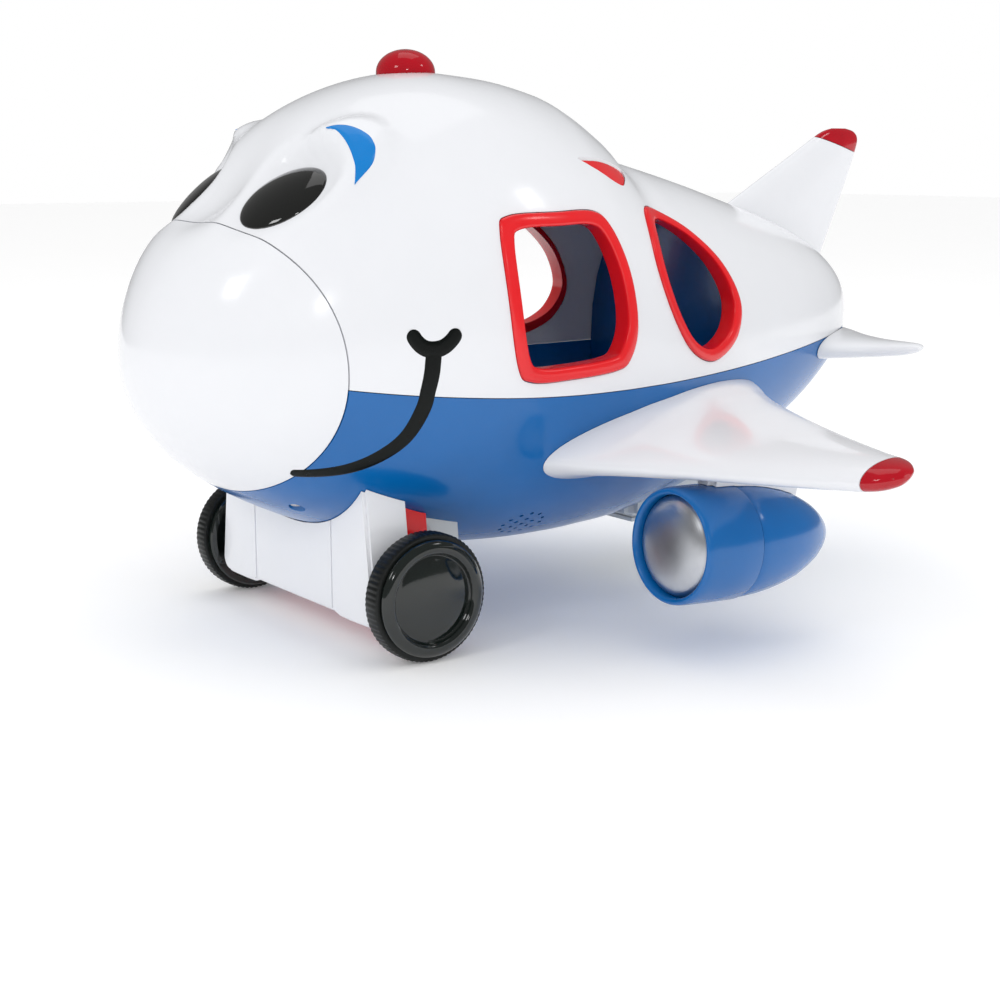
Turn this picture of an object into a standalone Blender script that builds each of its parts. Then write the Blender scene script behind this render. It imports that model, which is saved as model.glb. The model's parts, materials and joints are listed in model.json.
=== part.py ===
"""Toy airplane: a hollow cartoon airliner that sorts shape blocks and drives on two motor-driven wheels.

Frame: metres, +Z up, nose towards -Y, origin on the ground under the middle of the outer box.
Left and right are the airplane's own, so left is +X. Piece names that end in _L or _R say the side.
"""

import math

import bmesh
import bpy
from mathutils import Matrix, Vector

MM = 0.001

# Driving dimensions
HULL_LENGTH = 0.354  # nose tip to tail tip
NOSE_Y = -0.1825
AXLE_Y = NOSE_Y + 0.080
WALL = 0.0026
GAP = 0.0003  # between pieces that touch
RUN_GAP = 0.0004  # between pieces that turn or slide on each other
SECTION_POWER = 2.25  # of the superellipse that every hull section is
WAIST_SHARE = 0.42  # height of the widest point between belly and roof

# Stations along the hull: distance from the nose tip, roof, belly and half width, in mm
STATIONS = (
    (0, 108, 108, 0),
    (3, 124, 93, 16),
    (8, 135, 83, 27),
    (18, 151, 70, 41),
    (30, 164, 60, 51),
    (45, 178, 51, 60),
    (65, 193, 42, 67.5),
    (90, 204, 34, 73),
    (115, 208.5, 29, 77),
    (140, 206, 27, 78),
    (165, 197.5, 27, 76.5),
    (178, 190.5, 27.8, 74.5),
    (188, 184, 28.5, 73),
    (197, 178.5, 29.8, 71),
    (210, 175.5, 32, 68),
    (240, 168, 39, 60),
    (270, 159.5, 49, 50.5),
    (300, 150.5, 62, 39.5),
    (325, 140, 77, 28.5),
    (342, 129, 90, 17.5),
    (350, 120, 99, 9),
    (354, 109, 109, 0),
)
DOME_HEIGHT = 0.0065  # how far the head stands above the rear roof at its back edge
DOME_START, DOME_CREST, DOME_EDGE, DOME_FOOT = 0.125, 0.186, 0.189, 0.195

WHEEL_R = 0.0235
WHEEL_WIDTH = 0.013
WHEEL_FACE_X = 0.073
AXLE_R = 0.002
NACELLE_X, NACELLE_Y, NACELLE_Z = 0.117, AXLE_Y + 0.070, 0.0416
NACELLE_TILT = math.radians(-2.6)  # the tail of the engine hangs a little
HOUSING_X, HOUSING_TOP_X, HOUSING_FRONT, HOUSING_FOOT = 0.0585, 0.051, 0.017, 0.0125
CASTER_Y = AXLE_Y + 0.194
CASTER_R, CASTER_TRAIL = 0.0115, 0.007
BELLY_PLATE_Z = 0.0275

COLOURS = {
    "white": ((0.93, 0.93, 0.95, 1), 0.18, 0),
    "blue": ((0.0, 0.15, 0.45, 1), 0.2, 0),
    "red": ((0.75, 0.01, 0.02, 1), 0.22, 0),
    "lens_red": ((0.35, 0.01, 0.02, 1), 0.08, 0),
    "black": ((0.01, 0.012, 0.012, 1), 0.12, 0),
    "rubber": ((0.02, 0.02, 0.02, 1), 0.6, 0),
    "grey": ((0.6, 0.61, 0.63, 1), 0.35, 0),
    "silver": ((0.7, 0.71, 0.72, 1), 0.35, 1),
    "steel": ((0.6, 0.6, 0.6, 1), 0.3, 1),
    "nylon": ((0.85, 0.84, 0.78, 1), 0.4, 0),
    "board": ((0.02, 0.2, 0.08, 1), 0.5, 0),
    "cell": ((0.1, 0.1, 0.12, 1), 0.35, 0),
}


def clear_scene():
    for thing in list(bpy.data.objects):
        bpy.data.objects.remove(thing)


def material(name):
    found = bpy.data.materials.get(name)
    if found:
        return found
    colour, roughness, metallic = COLOURS[name]
    made = bpy.data.materials.new(name)
    made.use_nodes = True
    shader = made.node_tree.nodes["Principled BSDF"]
    shader.inputs["Base Color"].default_value = colour
    shader.inputs["Roughness"].default_value = roughness
    shader.inputs["Metallic"].default_value = metallic
    return made


def add(name, build, colour="white", at=(0, 0, 0), turn=(0, 0, 0), smooth=40):
    """An object made from a bmesh, which this frees."""
    bmesh.ops.recalc_face_normals(build, faces=build.faces)
    if build.calc_volume(signed=True) < 0:
        bmesh.ops.reverse_faces(build, faces=build.faces)
    mesh = bpy.data.meshes.new(name)
    build.to_mesh(mesh)
    build.free()
    made = bpy.data.objects.new(name, mesh)
    made.location, made.rotation_euler = at, turn
    bpy.context.scene.collection.objects.link(made)
    mesh.materials.append(material(colour))
    mesh.shade_smooth()
    mesh.set_sharp_from_angle(angle=math.radians(smooth))
    return made


def combine(target, tool, how):
    """The Boolean of two objects, applied to the first."""
    step = target.modifiers.new("combine", "BOOLEAN")
    step.operation, step.object, step.solver = how, tool, "EXACT"
    bpy.context.view_layer.update()
    graph = bpy.context.evaluated_depsgraph_get()
    result = bpy.data.meshes.new_from_object(target.evaluated_get(graph))
    target.modifiers.clear()
    old = target.data
    colours = list(old.materials)
    target.data = result
    bpy.data.meshes.remove(old)
    result.materials.clear()
    result.materials.append(colours[0])
    for face in result.polygons:
        face.material_index = 0
    bpy.data.objects.remove(tool)
    return target


# ---------------------------------------------------------------- shapes

def lathe(profile, steps=32, axis="Z"):
    """A body turned from (radius, height) points, whose first and last lie on the axis."""
    build = bmesh.new()
    rings = []
    for radius, height in profile:
        if radius == 0:
            rings.append([build.verts.new((0, 0, height))])
            continue
        ring = []
        for i in range(steps):
            angle = 2 * math.pi * i / steps
            ring.append(build.verts.new((radius * math.cos(angle), radius * math.sin(angle), height)))
        rings.append(ring)
    for low, high in zip(rings, rings[1:]):
        for i in range(steps):
            a, b = low[i % len(low)], low[(i + 1) % len(low)]
            c, d = high[(i + 1) % len(high)], high[i % len(high)]
            corners = list(dict.fromkeys((a, b, c, d)))
            if len(corners) > 2:
                build.faces.new(corners)
    if axis == "X":
        build.transform(Matrix.Rotation(math.radians(90), 4, "Y"))
    if axis == "Y":
        build.transform(Matrix.Rotation(math.radians(-90), 4, "X"))
    return build


def tube(profile, steps=32, axis="Z"):
    """A ring turned from a closed loop of (radius, height) points."""
    build = bmesh.new()
    rings = []
    for i in range(steps):
        angle = 2 * math.pi * i / steps
        rings.append([build.verts.new((r * math.cos(angle), r * math.sin(angle), h)) for r, h in profile])
    for i in range(steps):
        near, far = rings[i], rings[(i + 1) % steps]
        for j in range(len(profile)):
            k = (j + 1) % len(profile)
            build.faces.new((near[j], near[k], far[k], far[j]))
    if axis == "X":
        build.transform(Matrix.Rotation(math.radians(90), 4, "Y"))
    if axis == "Y":
        build.transform(Matrix.Rotation(math.radians(-90), 4, "X"))
    return build


def box(low, high, round_by=0, round_steps=2):
    """A block between two corners, with its edges rounded."""
    build = bmesh.new()
    size = Vector(high) - Vector(low)
    middle = (Vector(high) + Vector(low)) / 2
    bmesh.ops.create_cube(build, size=1, matrix=Matrix.Translation(middle) @ Matrix.Diagonal((*size, 1)))
    if round_by:
        bmesh.ops.bevel(build, geom=build.edges[:], offset=round_by, segments=round_steps, affect="EDGES")
    return build


def prism(outline, low, high, axis="X"):
    """An outline of (a, b) points pushed from low to high: (y, z) along X, (x, z) along Y, (x, y) along Z."""
    place = {
        "X": lambda a, b, t: (t, a, b),
        "Y": lambda a, b, t: (a, t, b),
        "Z": lambda a, b, t: (a, b, t),
    }[axis]
    build = bmesh.new()
    ends = [[build.verts.new(place(a, b, t)) for a, b in outline] for t in (low, high)]
    build.faces.new(ends[0])
    build.faces.new(ends[1])
    count = len(outline)
    for i in range(count):
        j = (i + 1) % count
        build.faces.new((ends[0][i], ends[0][j], ends[1][j], ends[1][i]))
    bmesh.ops.recalc_face_normals(build, faces=build.faces)
    return build


def round_outline(points, steps=4, grow=0.0):
    """A closed smooth curve through the points, which are first spread so that its box grows by grow."""
    points = spread_outline(points, grow)
    count, curve = len(points), []
    for i in range(count):
        before, start, end, after = (Vector(points[(i + k) % count]) for k in (-1, 0, 1, 2))
        for j in range(steps):
            t = j / steps
            curve.append(
                0.5 * (2 * start + (end - before) * t + (2 * before - 5 * start + 4 * end - after) * t * t
                       + (3 * start - before - 3 * end + after) * t ** 3)
            )
    return curve


def spread_outline(points, grow):
    """The outline scaled about the middle of its box, which grows by grow on every side."""
    spread = []
    for axis in (0, 1):
        values = [point[axis] for point in points]
        middle, half = (max(values) + min(values)) / 2, (max(values) - min(values)) / 2
        spread.append([middle + (value - middle) * (half + grow) / half for value in values])
    return list(zip(*spread))


# ---------------------------------------------------------------- hull

def arc_place(station):
    """Place along the hull as an angle share, so that both ends come out round."""
    return math.acos(max(-1, min(1, 1 - 2 * station / (HULL_LENGTH / MM)))) / math.pi


def station_values(station):
    """Roof, belly and half width in mm at a distance in mm from the nose tip, on a smooth curve."""
    knots = [arc_place(row[0]) for row in STATIONS]
    place = arc_place(station)
    i = max(k for k in range(len(knots) - 1) if knots[k] <= place or k == 0)
    width = knots[i + 1] - knots[i]
    t = (place - knots[i]) / width
    values = []
    for column in (1, 2, 3):
        def slope(k):
            low, high = max(k - 1, 0), min(k + 1, len(knots) - 1)
            return (STATIONS[high][column] - STATIONS[low][column]) / (knots[high] - knots[low])
        start, end = STATIONS[i][column], STATIONS[i + 1][column]
        values.append(
            (2 * t ** 3 - 3 * t * t + 1) * start + (t ** 3 - 2 * t * t + t) * width * slope(i)
            + (3 * t * t - 2 * t ** 3) * end + (t ** 3 - t * t) * width * slope(i + 1)
        )
    return values


def dome_rise(distance):
    """Share of the dome's extra height at this distance from the nose tip."""
    if distance <= DOME_START or distance >= DOME_FOOT:
        return 0
    if distance <= DOME_CREST:
        t = (distance - DOME_START) / (DOME_CREST - DOME_START)
        return t * t * (3 - 2 * t)
    if distance <= DOME_EDGE:
        return 1
    t = (DOME_FOOT - distance) / (DOME_FOOT - DOME_EDGE)
    return t * t * (3 - 2 * t)


def hull_point(distance, angle, grow=0.0):
    """A point of the hull's surface, moved outwards by grow. Angle 0 is the left waist, 90 degrees the roof."""
    roof, belly, half = (value * MM for value in station_values(distance / MM))
    waist = belly + WAIST_SHARE * (roof - belly)
    across, up = math.cos(angle), math.sin(angle)
    reach = 2 / SECTION_POWER
    tall = roof - waist if up > 0 else waist - belly
    half, tall = (size + max(grow, -0.8 * size) for size in (half, tall))
    x = math.copysign(abs(across) ** reach, across) * half
    z = waist + math.copysign(abs(up) ** reach, up) * tall
    z += DOME_HEIGHT * dome_rise(distance) * max(0, up) ** 8
    y = NOSE_Y + distance * (HULL_LENGTH + 2 * grow) / HULL_LENGTH - grow
    return Vector((x, y, z))


def ring_distances(count):
    even = [HULL_LENGTH * (1 - math.cos(math.pi * i / count)) / 2 for i in range(1, count)]
    edge = (0.180, DOME_CREST, DOME_EDGE, (DOME_EDGE + DOME_FOOT) / 2, DOME_FOOT, 0.202)
    kept = [d for d in even if all(abs(d - e) > 0.005 for e in edge)]
    return sorted(kept + list(edge))


def hull_body(grow=0.0, rings=18, steps=30):
    """The hull's outer form, moved outwards by grow, as a closed body."""
    build = bmesh.new()
    loops = []
    angles = [2 * math.pi * i / steps for i in range(steps)]
    for distance in ring_distances(rings):
        loops.append([build.verts.new(hull_point(distance, angle, grow)) for angle in angles])
    nose, tail = (hull_point(distance, 0, grow) for distance in (0, HULL_LENGTH))
    nose, tail = (build.verts.new((0, tip.y, tip.z)) for tip in (nose, tail))
    for near, far in zip(loops, loops[1:]):
        for i in range(steps):
            j = (i + 1) % steps
            build.faces.new((near[i], near[j], far[j], far[i]))
    for i in range(steps):
        j = (i + 1) % steps
        build.faces.new((nose, loops[0][j], loops[0][i]))
        build.faces.new((tail, loops[-1][i], loops[-1][j]))
    return build


def hull_shell(outer=0.0, inner=-WALL):
    shell = add("hull", hull_body(outer))
    return combine(shell, add("hull_inside", hull_body(inner)), "DIFFERENCE")


def seam_height(distance):
    """Height of the line between the white and the blue shell."""
    low_at, low = 0.150, 0.092
    if distance < low_at:
        return low + 0.009 * ((low_at - distance) / 0.110) ** 2
    return low + 0.006 * ((distance - low_at) / 0.150) ** 2


def seam_block(above, gap):
    """The space above or below the seam line."""
    edge = [(NOSE_Y + d, seam_height(d) + gap) for d in (k * 0.02 - 0.01 for k in range(20))]
    reach = 0.3 if above else -0.1
    outline = edge + [(edge[-1][0], reach), (edge[0][0], reach)]
    return add("seam_block", prism(outline, -0.12, 0.12))


CAP_Y, CAP_Z, CAP_R = NOSE_Y - 0.012, 0.104, 0.064  # the round cut behind the nose cap


def cap_cutter(grow):
    cutter = lathe([(0, -0.12), (CAP_R + grow, -0.12), (CAP_R + grow, 0.12), (0, 0.12)], 64, "X")
    return add("cap_cutter", cutter, at=(0, CAP_Y, CAP_Z))


# Window outlines: distance behind the axle, height, in mm
SQUARE_WINDOW = ((33, 104), (30, 128), (29.5, 151), (34, 157), (55, 158), (74, 158), (82, 152),
                 (88, 135), (89.5, 115), (85, 103), (78, 99.5), (58, 98), (39, 98))
DROP_WINDOW = ((106, 153), (110, 158.5), (119, 157), (135, 149), (150, 136), (158, 120), (154, 107),
               (143, 99.5), (132, 98.5), (120, 105), (110, 120), (105, 137))
FRAME_BAND = 0.0052


def window_outline(points, grow=0.0):
    outline = [(AXLE_Y + y * MM, z * MM) for y, z in points]
    return round_outline(outline, 3, grow)


def window_frame(name, points, side):
    """A red band that stands a little proud of the hull and lines the opening."""
    frame = hull_shell(0.0011, -0.0065)
    frame.name = name
    reach = sorted((side * 0.02, side * 0.12))
    combine(frame, add("outside", prism(window_outline(points, -GAP), *reach)), "INTERSECT")
    combine(frame, add("inside", prism(window_outline(points, -FRAME_BAND), *reach)), "DIFFERENCE")
    recolour(frame, "red")
    return frame


def recolour(target, colour):
    target.data.materials.clear()
    target.data.materials.append(material(colour))


# Opening on each shoulder, seen from above: distance from the middle, distance behind the axle, in mm
SHOULDER_HOLE = ((54.7, 76.5), (55.3, 81), (55.5, 87), (55.2, 93), (53.8, 99), (51.5, 102), (47.3, 105.5),
                 (44.3, 105.5), (46.8, 97.5), (51.5, 86))
PANEL_RECESS = 0.0006


def shoulder_tool(name, side, grow=0.0):
    """The opening pushed upwards, with its outline moved outwards by grow."""
    curve = round_outline([(x * MM, AXLE_Y + y * MM) for x, y in SHOULDER_HOLE], 2)
    outline = []
    for i, point in enumerate(curve):
        along = (curve[(i + 1) % len(curve)] - curve[i - 1]).normalized()
        outline.append((side * (point.x + along.y * grow), point.y - along.x * grow))
    return add(name, prism(outline, 0.14, 0.25, "Z"))


def make_shoulder_panel(side, letter):
    """The red panel that fills the shoulder opening from inside, held by a flange."""
    inside = -WALL - 0.0016
    panel = hull_shell(-PANEL_RECESS, inside)
    panel.name = f"shoulder_panel_{letter}"
    combine(panel, shoulder_tool("outline", side, -0.0005), "INTERSECT")
    flange = hull_shell(-WALL - GAP, inside)
    combine(flange, shoulder_tool("outline", side, 0.003), "INTERSECT")
    combine(panel, flange, "UNION")
    recolour(panel, "red")


# ---------------------------------------------------------------- cabin, face and lamp

TUB_FRONT, TUB_BACK = AXLE_Y + 0.022, AXLE_Y + 0.173
TUB_FLOOR = 0.066
TUB_WALL = 0.0024


def make_cabin_tub():
    """Floor and two bulkheads that hold the blocks, fitted to the inside of the hull."""
    wide = 0.1
    profile = [
        (TUB_FRONT, 0.165), (TUB_FRONT, TUB_FLOOR), (TUB_BACK, TUB_FLOOR), (TUB_BACK, 0.150),
        (TUB_BACK - TUB_WALL, 0.150), (TUB_BACK - TUB_WALL, TUB_FLOOR + TUB_WALL),
        (TUB_FRONT + TUB_WALL, TUB_FLOOR + TUB_WALL), (TUB_FRONT + TUB_WALL, 0.165),
    ]
    tub = add("cabin_tub", prism(profile, -wide, wide), "blue")
    combine(tub, add("inside", hull_body(-WALL - RUN_GAP)), "INTERSECT")


EYE_DISTANCE, EYE_ANGLE = 0.0430, math.radians(56)  # on the hull's surface
EYE_WIDE, EYE_TALL, EYE_PROUD = 0.0155, 0.0108, 0.0018


def eye_frame(side):
    """Matrix with its Z out of the hull at the eye and its X along the eye's length."""
    here = hull_point(EYE_DISTANCE, EYE_ANGLE)
    ahead = hull_point(EYE_DISTANCE + 0.001, EYE_ANGLE) - here
    around = hull_point(EYE_DISTANCE, EYE_ANGLE + 0.01) - here
    out = ahead.cross(around).normalized()
    if out.z < 0:
        out.negate()
    along = (around.project(out) - around).normalized()
    matrix = Matrix((along, out.cross(along), out)).transposed().to_4x4()
    matrix.translation = here
    if side < 0:
        matrix = Matrix.Diagonal((-1, 1, 1, 1)) @ matrix
    return matrix


def eye_tool(name, side, grow):
    outline = []
    for i in range(28):
        angle = 2 * math.pi * i / 28
        outline.append(((EYE_WIDE + grow) * math.cos(angle), (EYE_TALL + grow) * math.sin(angle)))
    tool = prism(outline, -0.012, 0.02, "Z")
    tool.transform(eye_frame(side))
    return add(name, tool)


def make_eyes():
    for side, letter in ((1, "L"), (-1, "R")):
        eye = hull_shell(EYE_PROUD, -WALL)
        eye.name = f"eye_{letter}"
        combine(eye, eye_tool("outline", side, 0), "INTERSECT")
        recolour(eye, "black")


LAMP_Y, LAMP_R, LAMP_TOP = AXLE_Y + 0.0365, 0.0112, 0.2178


def make_lamp():
    """The receiver's lens on the head: a hollow dome, open below."""
    low, wall = 0.202, 0.0018
    outer = [(LAMP_R, low), (LAMP_R, 0.2095)]
    inner = []
    for i in range(1, 5):
        angle = math.radians(22.5 * i)
        reach = (LAMP_R * math.cos(angle), 0.2095 + (LAMP_TOP - 0.2095) * math.sin(angle))
        outer.append(reach if i < 4 else (0, LAMP_TOP))
    for radius, height in reversed(outer):
        inner.append((max(0, radius - wall), height - (wall if height > low else 0)))
    profile = [(0, LAMP_TOP)] + list(reversed(outer[:-1])) + [(LAMP_R - wall, low)] + inner[::-1][1:-1]
    add("receiver_dome", lathe(profile + [(0, LAMP_TOP - wall)], 20), "lens_red", at=(0, LAMP_Y, 0))


# ---------------------------------------------------------------- wings and tail

def loft(rings):
    """A closed body through rings of points, with a fan on each end."""
    build = bmesh.new()
    loops = [[build.verts.new(point) for point in ring] for ring in rings]
    count = len(loops[0])
    for near, far in zip(loops, loops[1:]):
        for i in range(count):
            j = (i + 1) % count
            build.faces.new((near[i], near[j], far[j], far[i]))
    for loop in (loops[0], loops[-1]):
        middle = build.verts.new(sum((v.co for v in loop), Vector()) / count)
        for i in range(count):
            build.faces.new((middle, loop[i], loop[(i + 1) % count]))
    return build


def aerofoil(front, back, thick, place, grow=0.0, steps=16):
    """A closed ring from the leading to the trailing point, both (along, height), put in space by place."""
    ring = []
    front, back = Vector(front), Vector(back)
    chord = back - front
    normal = Vector((-chord[1], chord[0])).normalized()
    for i in range(steps):
        angle = 2 * math.pi * i / steps
        share = (1 - math.cos(angle)) / 2
        fullness = 1 - 0.35 * share
        point = front + chord * share + normal * (thick / 2 * math.sin(angle) * fullness)
        point -= chord.normalized() * grow * math.cos(angle)
        point += normal * grow * math.sin(angle)
        ring.append(place(point[0], point[1]))
    return ring


# distance out, leading edge (behind the axle, height), trailing edge (same), thickness, in mm
WING = (
    (50, (40, 66), (172, 85.5), 36),
    (66, (47, 66.5), (163, 84.5), 31),
    (78, (52, 67), (155, 83.5), 24),
    (93, (59, 67.5), (147, 82.5), 19),
    (120, (70, 68.5), (134, 81.5), 15.5),
    (150, (78, 70), (121, 80.5), 13),
    (180, (85, 72), (110, 79.5), 11),
    (192, (88, 73), (107, 79), 9.5),
    (198, (92, 74.5), (103, 77.8), 6.5),
    (200, (95.5, 75.6), (99.5, 76.8), 2.5),
)
STABILIZER = (
    (6, (204, 93), (270, 99), 16),
    (20, (212, 93), (265.5, 98.5), 14),
    (34, (222, 93), (261, 97.5), 11),
    (50, (234, 93.8), (257, 97), 8.5),
    (65, (241.5, 95), (254, 97.3), 6.5),
    (72, (245, 96), (252.5, 97.5), 4.5),
    (75, (247, 96.6), (250, 97.2), 1.8),
)
TIP_SPLIT = 0.1895
# height, leading edge, trailing edge (behind the axle), thickness, in mm
FIN = (
    (125, 146, 259, 13),
    (140, 173, 266, 12),
    (152, 195, 271.5, 10),
    (166, 220.5, 278, 8.5),
    (178, 242.5, 283, 7),
    (185, 255, 285, 6),
    (188.5, 262, 282.5, 4.5),
    (190, 268, 277, 2),
)
FIN_SPLIT = ((240, 190.5), (300, 174.5))  # line under the fin's cap, mm behind the axle and mm up


def surface_loft(rows, side, grow=0.0):
    rings = []
    for out, front, back, thick in rows:
        x = side * (out + (grow / MM if out == rows[-1][0] else 0)) * MM

        def place(along, height, x=x):
            return Vector((x, AXLE_Y + along, height))
        rings.append(aerofoil([v * MM for v in front], [v * MM for v in back], thick * MM, place, grow))
    return loft(rings)


def make_wings():
    skin = 0.002
    for side, letter in ((1, "L"), (-1, "R")):
        wing = add(f"wing_{letter}", surface_loft(WING, side))
        combine(wing, add("root", hull_body(GAP)), "DIFFERENCE")
        inner_rows = [row for row in WING if row[0] < TIP_SPLIT / MM - 2]
        hollow = add("hollow", surface_loft([(40, *WING[0][1:])] + list(inner_rows), side, -skin))
        tip = add(f"wing_tip_{letter}", surface_loft(WING, side), "lens_red")
        reach = sorted((side * 0.03, side * (TIP_SPLIT - GAP)))
        combine(wing, add("split", box((reach[0], -0.2, 0), (reach[1], 0.2, 0.2))), "INTERSECT")
        reach = sorted((side * TIP_SPLIT, side * 0.3))
        combine(tip, add("split", box((reach[0], -0.2, 0), (reach[1], 0.2, 0.2))), "INTERSECT")
        combine(wing, hollow, "DIFFERENCE")
        stabilizer = add(f"stabilizer_{letter}", surface_loft(STABILIZER, side))
        combine(stabilizer, add("root", hull_body(GAP)), "DIFFERENCE")


def fin_body():
    rings = []
    for height, front, back, thick in FIN:
        def place(along, across, height=height):
            return Vector((across, AXLE_Y + along, height * MM))
        rings.append(aerofoil((front * MM, 0), (back * MM, 0), thick * MM, place))
    return loft(rings)


def make_fin():
    fin = add("tail_fin", fin_body())
    cap = add("fin_cap", fin_body(), "lens_red")
    combine(fin, add("root", hull_body(GAP)), "DIFFERENCE")
    for part, reach, gap in ((fin, 0.0, -GAP / 2), (cap, 0.3, GAP / 2)):
        line = [(AXLE_Y + y * MM, z * MM + gap) for y, z in FIN_SPLIT]
        outline = line + [(line[1][0], reach), (line[0][0], reach)]
        if part is fin:
            outline = [(line[0][0] - 0.2, line[0][1]), *line, (line[1][0], reach), (line[0][0] - 0.2, reach)]
        combine(part, add("split", prism(outline, -0.05, 0.05)), "INTERSECT")


# ---------------------------------------------------------------- engines

# distance behind the engine's front, radius, in mm
COWL_OUTSIDE = ((0, 19.6), (1.2, 20.8), (4, 21.2), (26, 21.4))
CONE_OUTSIDE = ((26.3, 21.0), (36, 20.6), (48, 18.6), (60, 14.6), (69, 9.6), (74.5, 4.6), (76.5, 0))
NACELLE_WALL = 0.0022


def make_engine(side, letter):
    place, turn = (side * NACELLE_X, NACELLE_Y, NACELLE_Z), (NACELLE_TILT, 0, 0)
    bore = 0.0186
    outside = [(r * MM, d * MM) for d, r in COWL_OUTSIDE]
    inside = [(bore, 0.026), (bore, 0.0012), (bore + 0.0005, 0)]
    add(f"engine_cowl_{letter}", tube(outside + inside, 24, "Y"), "blue", at=place, turn=turn)
    outside = [(r * MM, d * MM) for d, r in CONE_OUTSIDE]
    inside = [(max(0, r - NACELLE_WALL), d - (0.002 if r < 0.018 else 0)) for r, d in reversed(outside)]
    add(f"engine_cone_{letter}", lathe(outside[::-1] + inside[::-1], 24, "Y"), "blue", at=place, turn=turn)
    disc = bore - GAP
    dome = [(0, -0.0012), (0.007, -0.0006), (0.013, 0.0010), (disc, 0.0036), (disc, 0.0056),
            (0.013, 0.0034), (0, 0.0012)]
    add(f"engine_disc_{letter}", lathe(dome, 24, "Y"), "silver", at=place, turn=turn)
    make_pylon(side, letter)


def make_pylon(side, letter):
    """The strut between engine and wing."""
    outline = [(0.084, 0.055), (0.0865, 0.067), (0.090, 0.090), (0.150, 0.090), (0.133, 0.066), (0.128, 0.048)]
    outline = [(AXLE_Y + y, z) for y, z in outline]
    reach = sorted((side * (NACELLE_X - 0.0048), side * (NACELLE_X + 0.0048)))
    pylon = add(f"engine_pylon_{letter}", prism(outline, *reach))
    combine(pylon, add("wing", surface_loft(WING, side, GAP)), "DIFFERENCE")
    body = [(0, -0.002)] + [(r * MM + GAP, d * MM) for d, r in COWL_OUTSIDE + CONE_OUTSIDE[1:-1]] + [(0, 0.078)]
    nacelle = add("nacelle", lathe(body, 24, "Y"), at=(side * NACELLE_X, NACELLE_Y, NACELLE_Z),
                  turn=(NACELLE_TILT, 0, 0))
    combine(pylon, nacelle, "DIFFERENCE")
    keep = sorted((side * 0.09, side * 0.15))
    under = add("under", box((keep[0], AXLE_Y + 0.05, 0.045), (keep[1], AXLE_Y + 0.2, 0.078)))
    combine(pylon, under, "INTERSECT")


# ---------------------------------------------------------------- wheels and drive

WHEEL_PROFILE = (  # radius, distance from the inner face, in mm
    (0, 12.6), (6, 12.4), (12, 11.7), (15.6, 10.9), (16.2, 12.4), (17.6, 13.0), (19.6, 12.8), (21.2, 11.6),
    (21.4, 10.6), (20.6, 10.4), (20.6, 2.4), (21.4, 2.2), (21.4, 0.6), (20.8, 0), (18.8, 0), (18.4, 4),
    (5.2, 4), (5, 0), (2.15, 0), (2.15, 9), (0, 9),
)
TYRE_PROFILE = ((20.9, 2.7), (22.8, 2.7), (23.5, 3.6), (23.5, 9.2), (22.8, 10.1), (20.9, 10.1))
GEAR_MODULE = 0.00045
AXLE_TEETH, PINION_TEETH = 36, 12
MESH_SLACK = 0.00014
CENTRE_DISTANCE = (AXLE_TEETH + PINION_TEETH) / 2 * GEAR_MODULE + MESH_SLACK
IDLER_ANGLE, MOTOR_ANGLE = math.radians(70), math.radians(40)  # from +Y, as seen from the left
IDLER_Y = AXLE_Y + CENTRE_DISTANCE * math.cos(IDLER_ANGLE)
IDLER_Z = WHEEL_R + CENTRE_DISTANCE * math.sin(IDLER_ANGLE)
MOTOR_Y = IDLER_Y + CENTRE_DISTANCE * math.cos(MOTOR_ANGLE)
MOTOR_Z = IDLER_Z + CENTRE_DISTANCE * math.sin(MOTOR_ANGLE)
FIRST_STAGE = (0.0068, 0.0118)  # from and to along the axle: motor pinion and big idler wheel
SECOND_STAGE = (0.0024, 0.0064)  # small idler wheel and axle gear


def gear_outline(teeth, phase):
    """Straight-sided teeth with room between them, as (y, z) points."""
    pitch = teeth * GEAR_MODULE / 2
    root, crown = pitch - 1.05 * GEAR_MODULE, pitch + 0.8 * GEAR_MODULE
    outline = []
    for i in range(teeth):
        middle = phase + 2 * math.pi * i / teeth
        tooth = 2 * math.pi / teeth
        for radius, share in ((root, -0.30), (crown, -0.13), (crown, 0.13), (root, 0.30)):
            angle = middle + share * tooth
            outline.append((radius * math.cos(angle), radius * math.sin(angle)))
    return outline


def cut_bore(target, radius, at, reach=0.2):
    bore = lathe([(0, -reach), (radius, -reach), (radius, reach), (0, reach)], 20, "X")
    combine(target, add("bore", bore, at=at), "DIFFERENCE")


def gear(name, teeth, phase, stage, place, bore, colour="nylon"):
    made = add(name, prism(gear_outline(teeth, phase), *stage), colour, at=place)
    if bore:
        cut_bore(made, bore, place)
    return made


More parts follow.
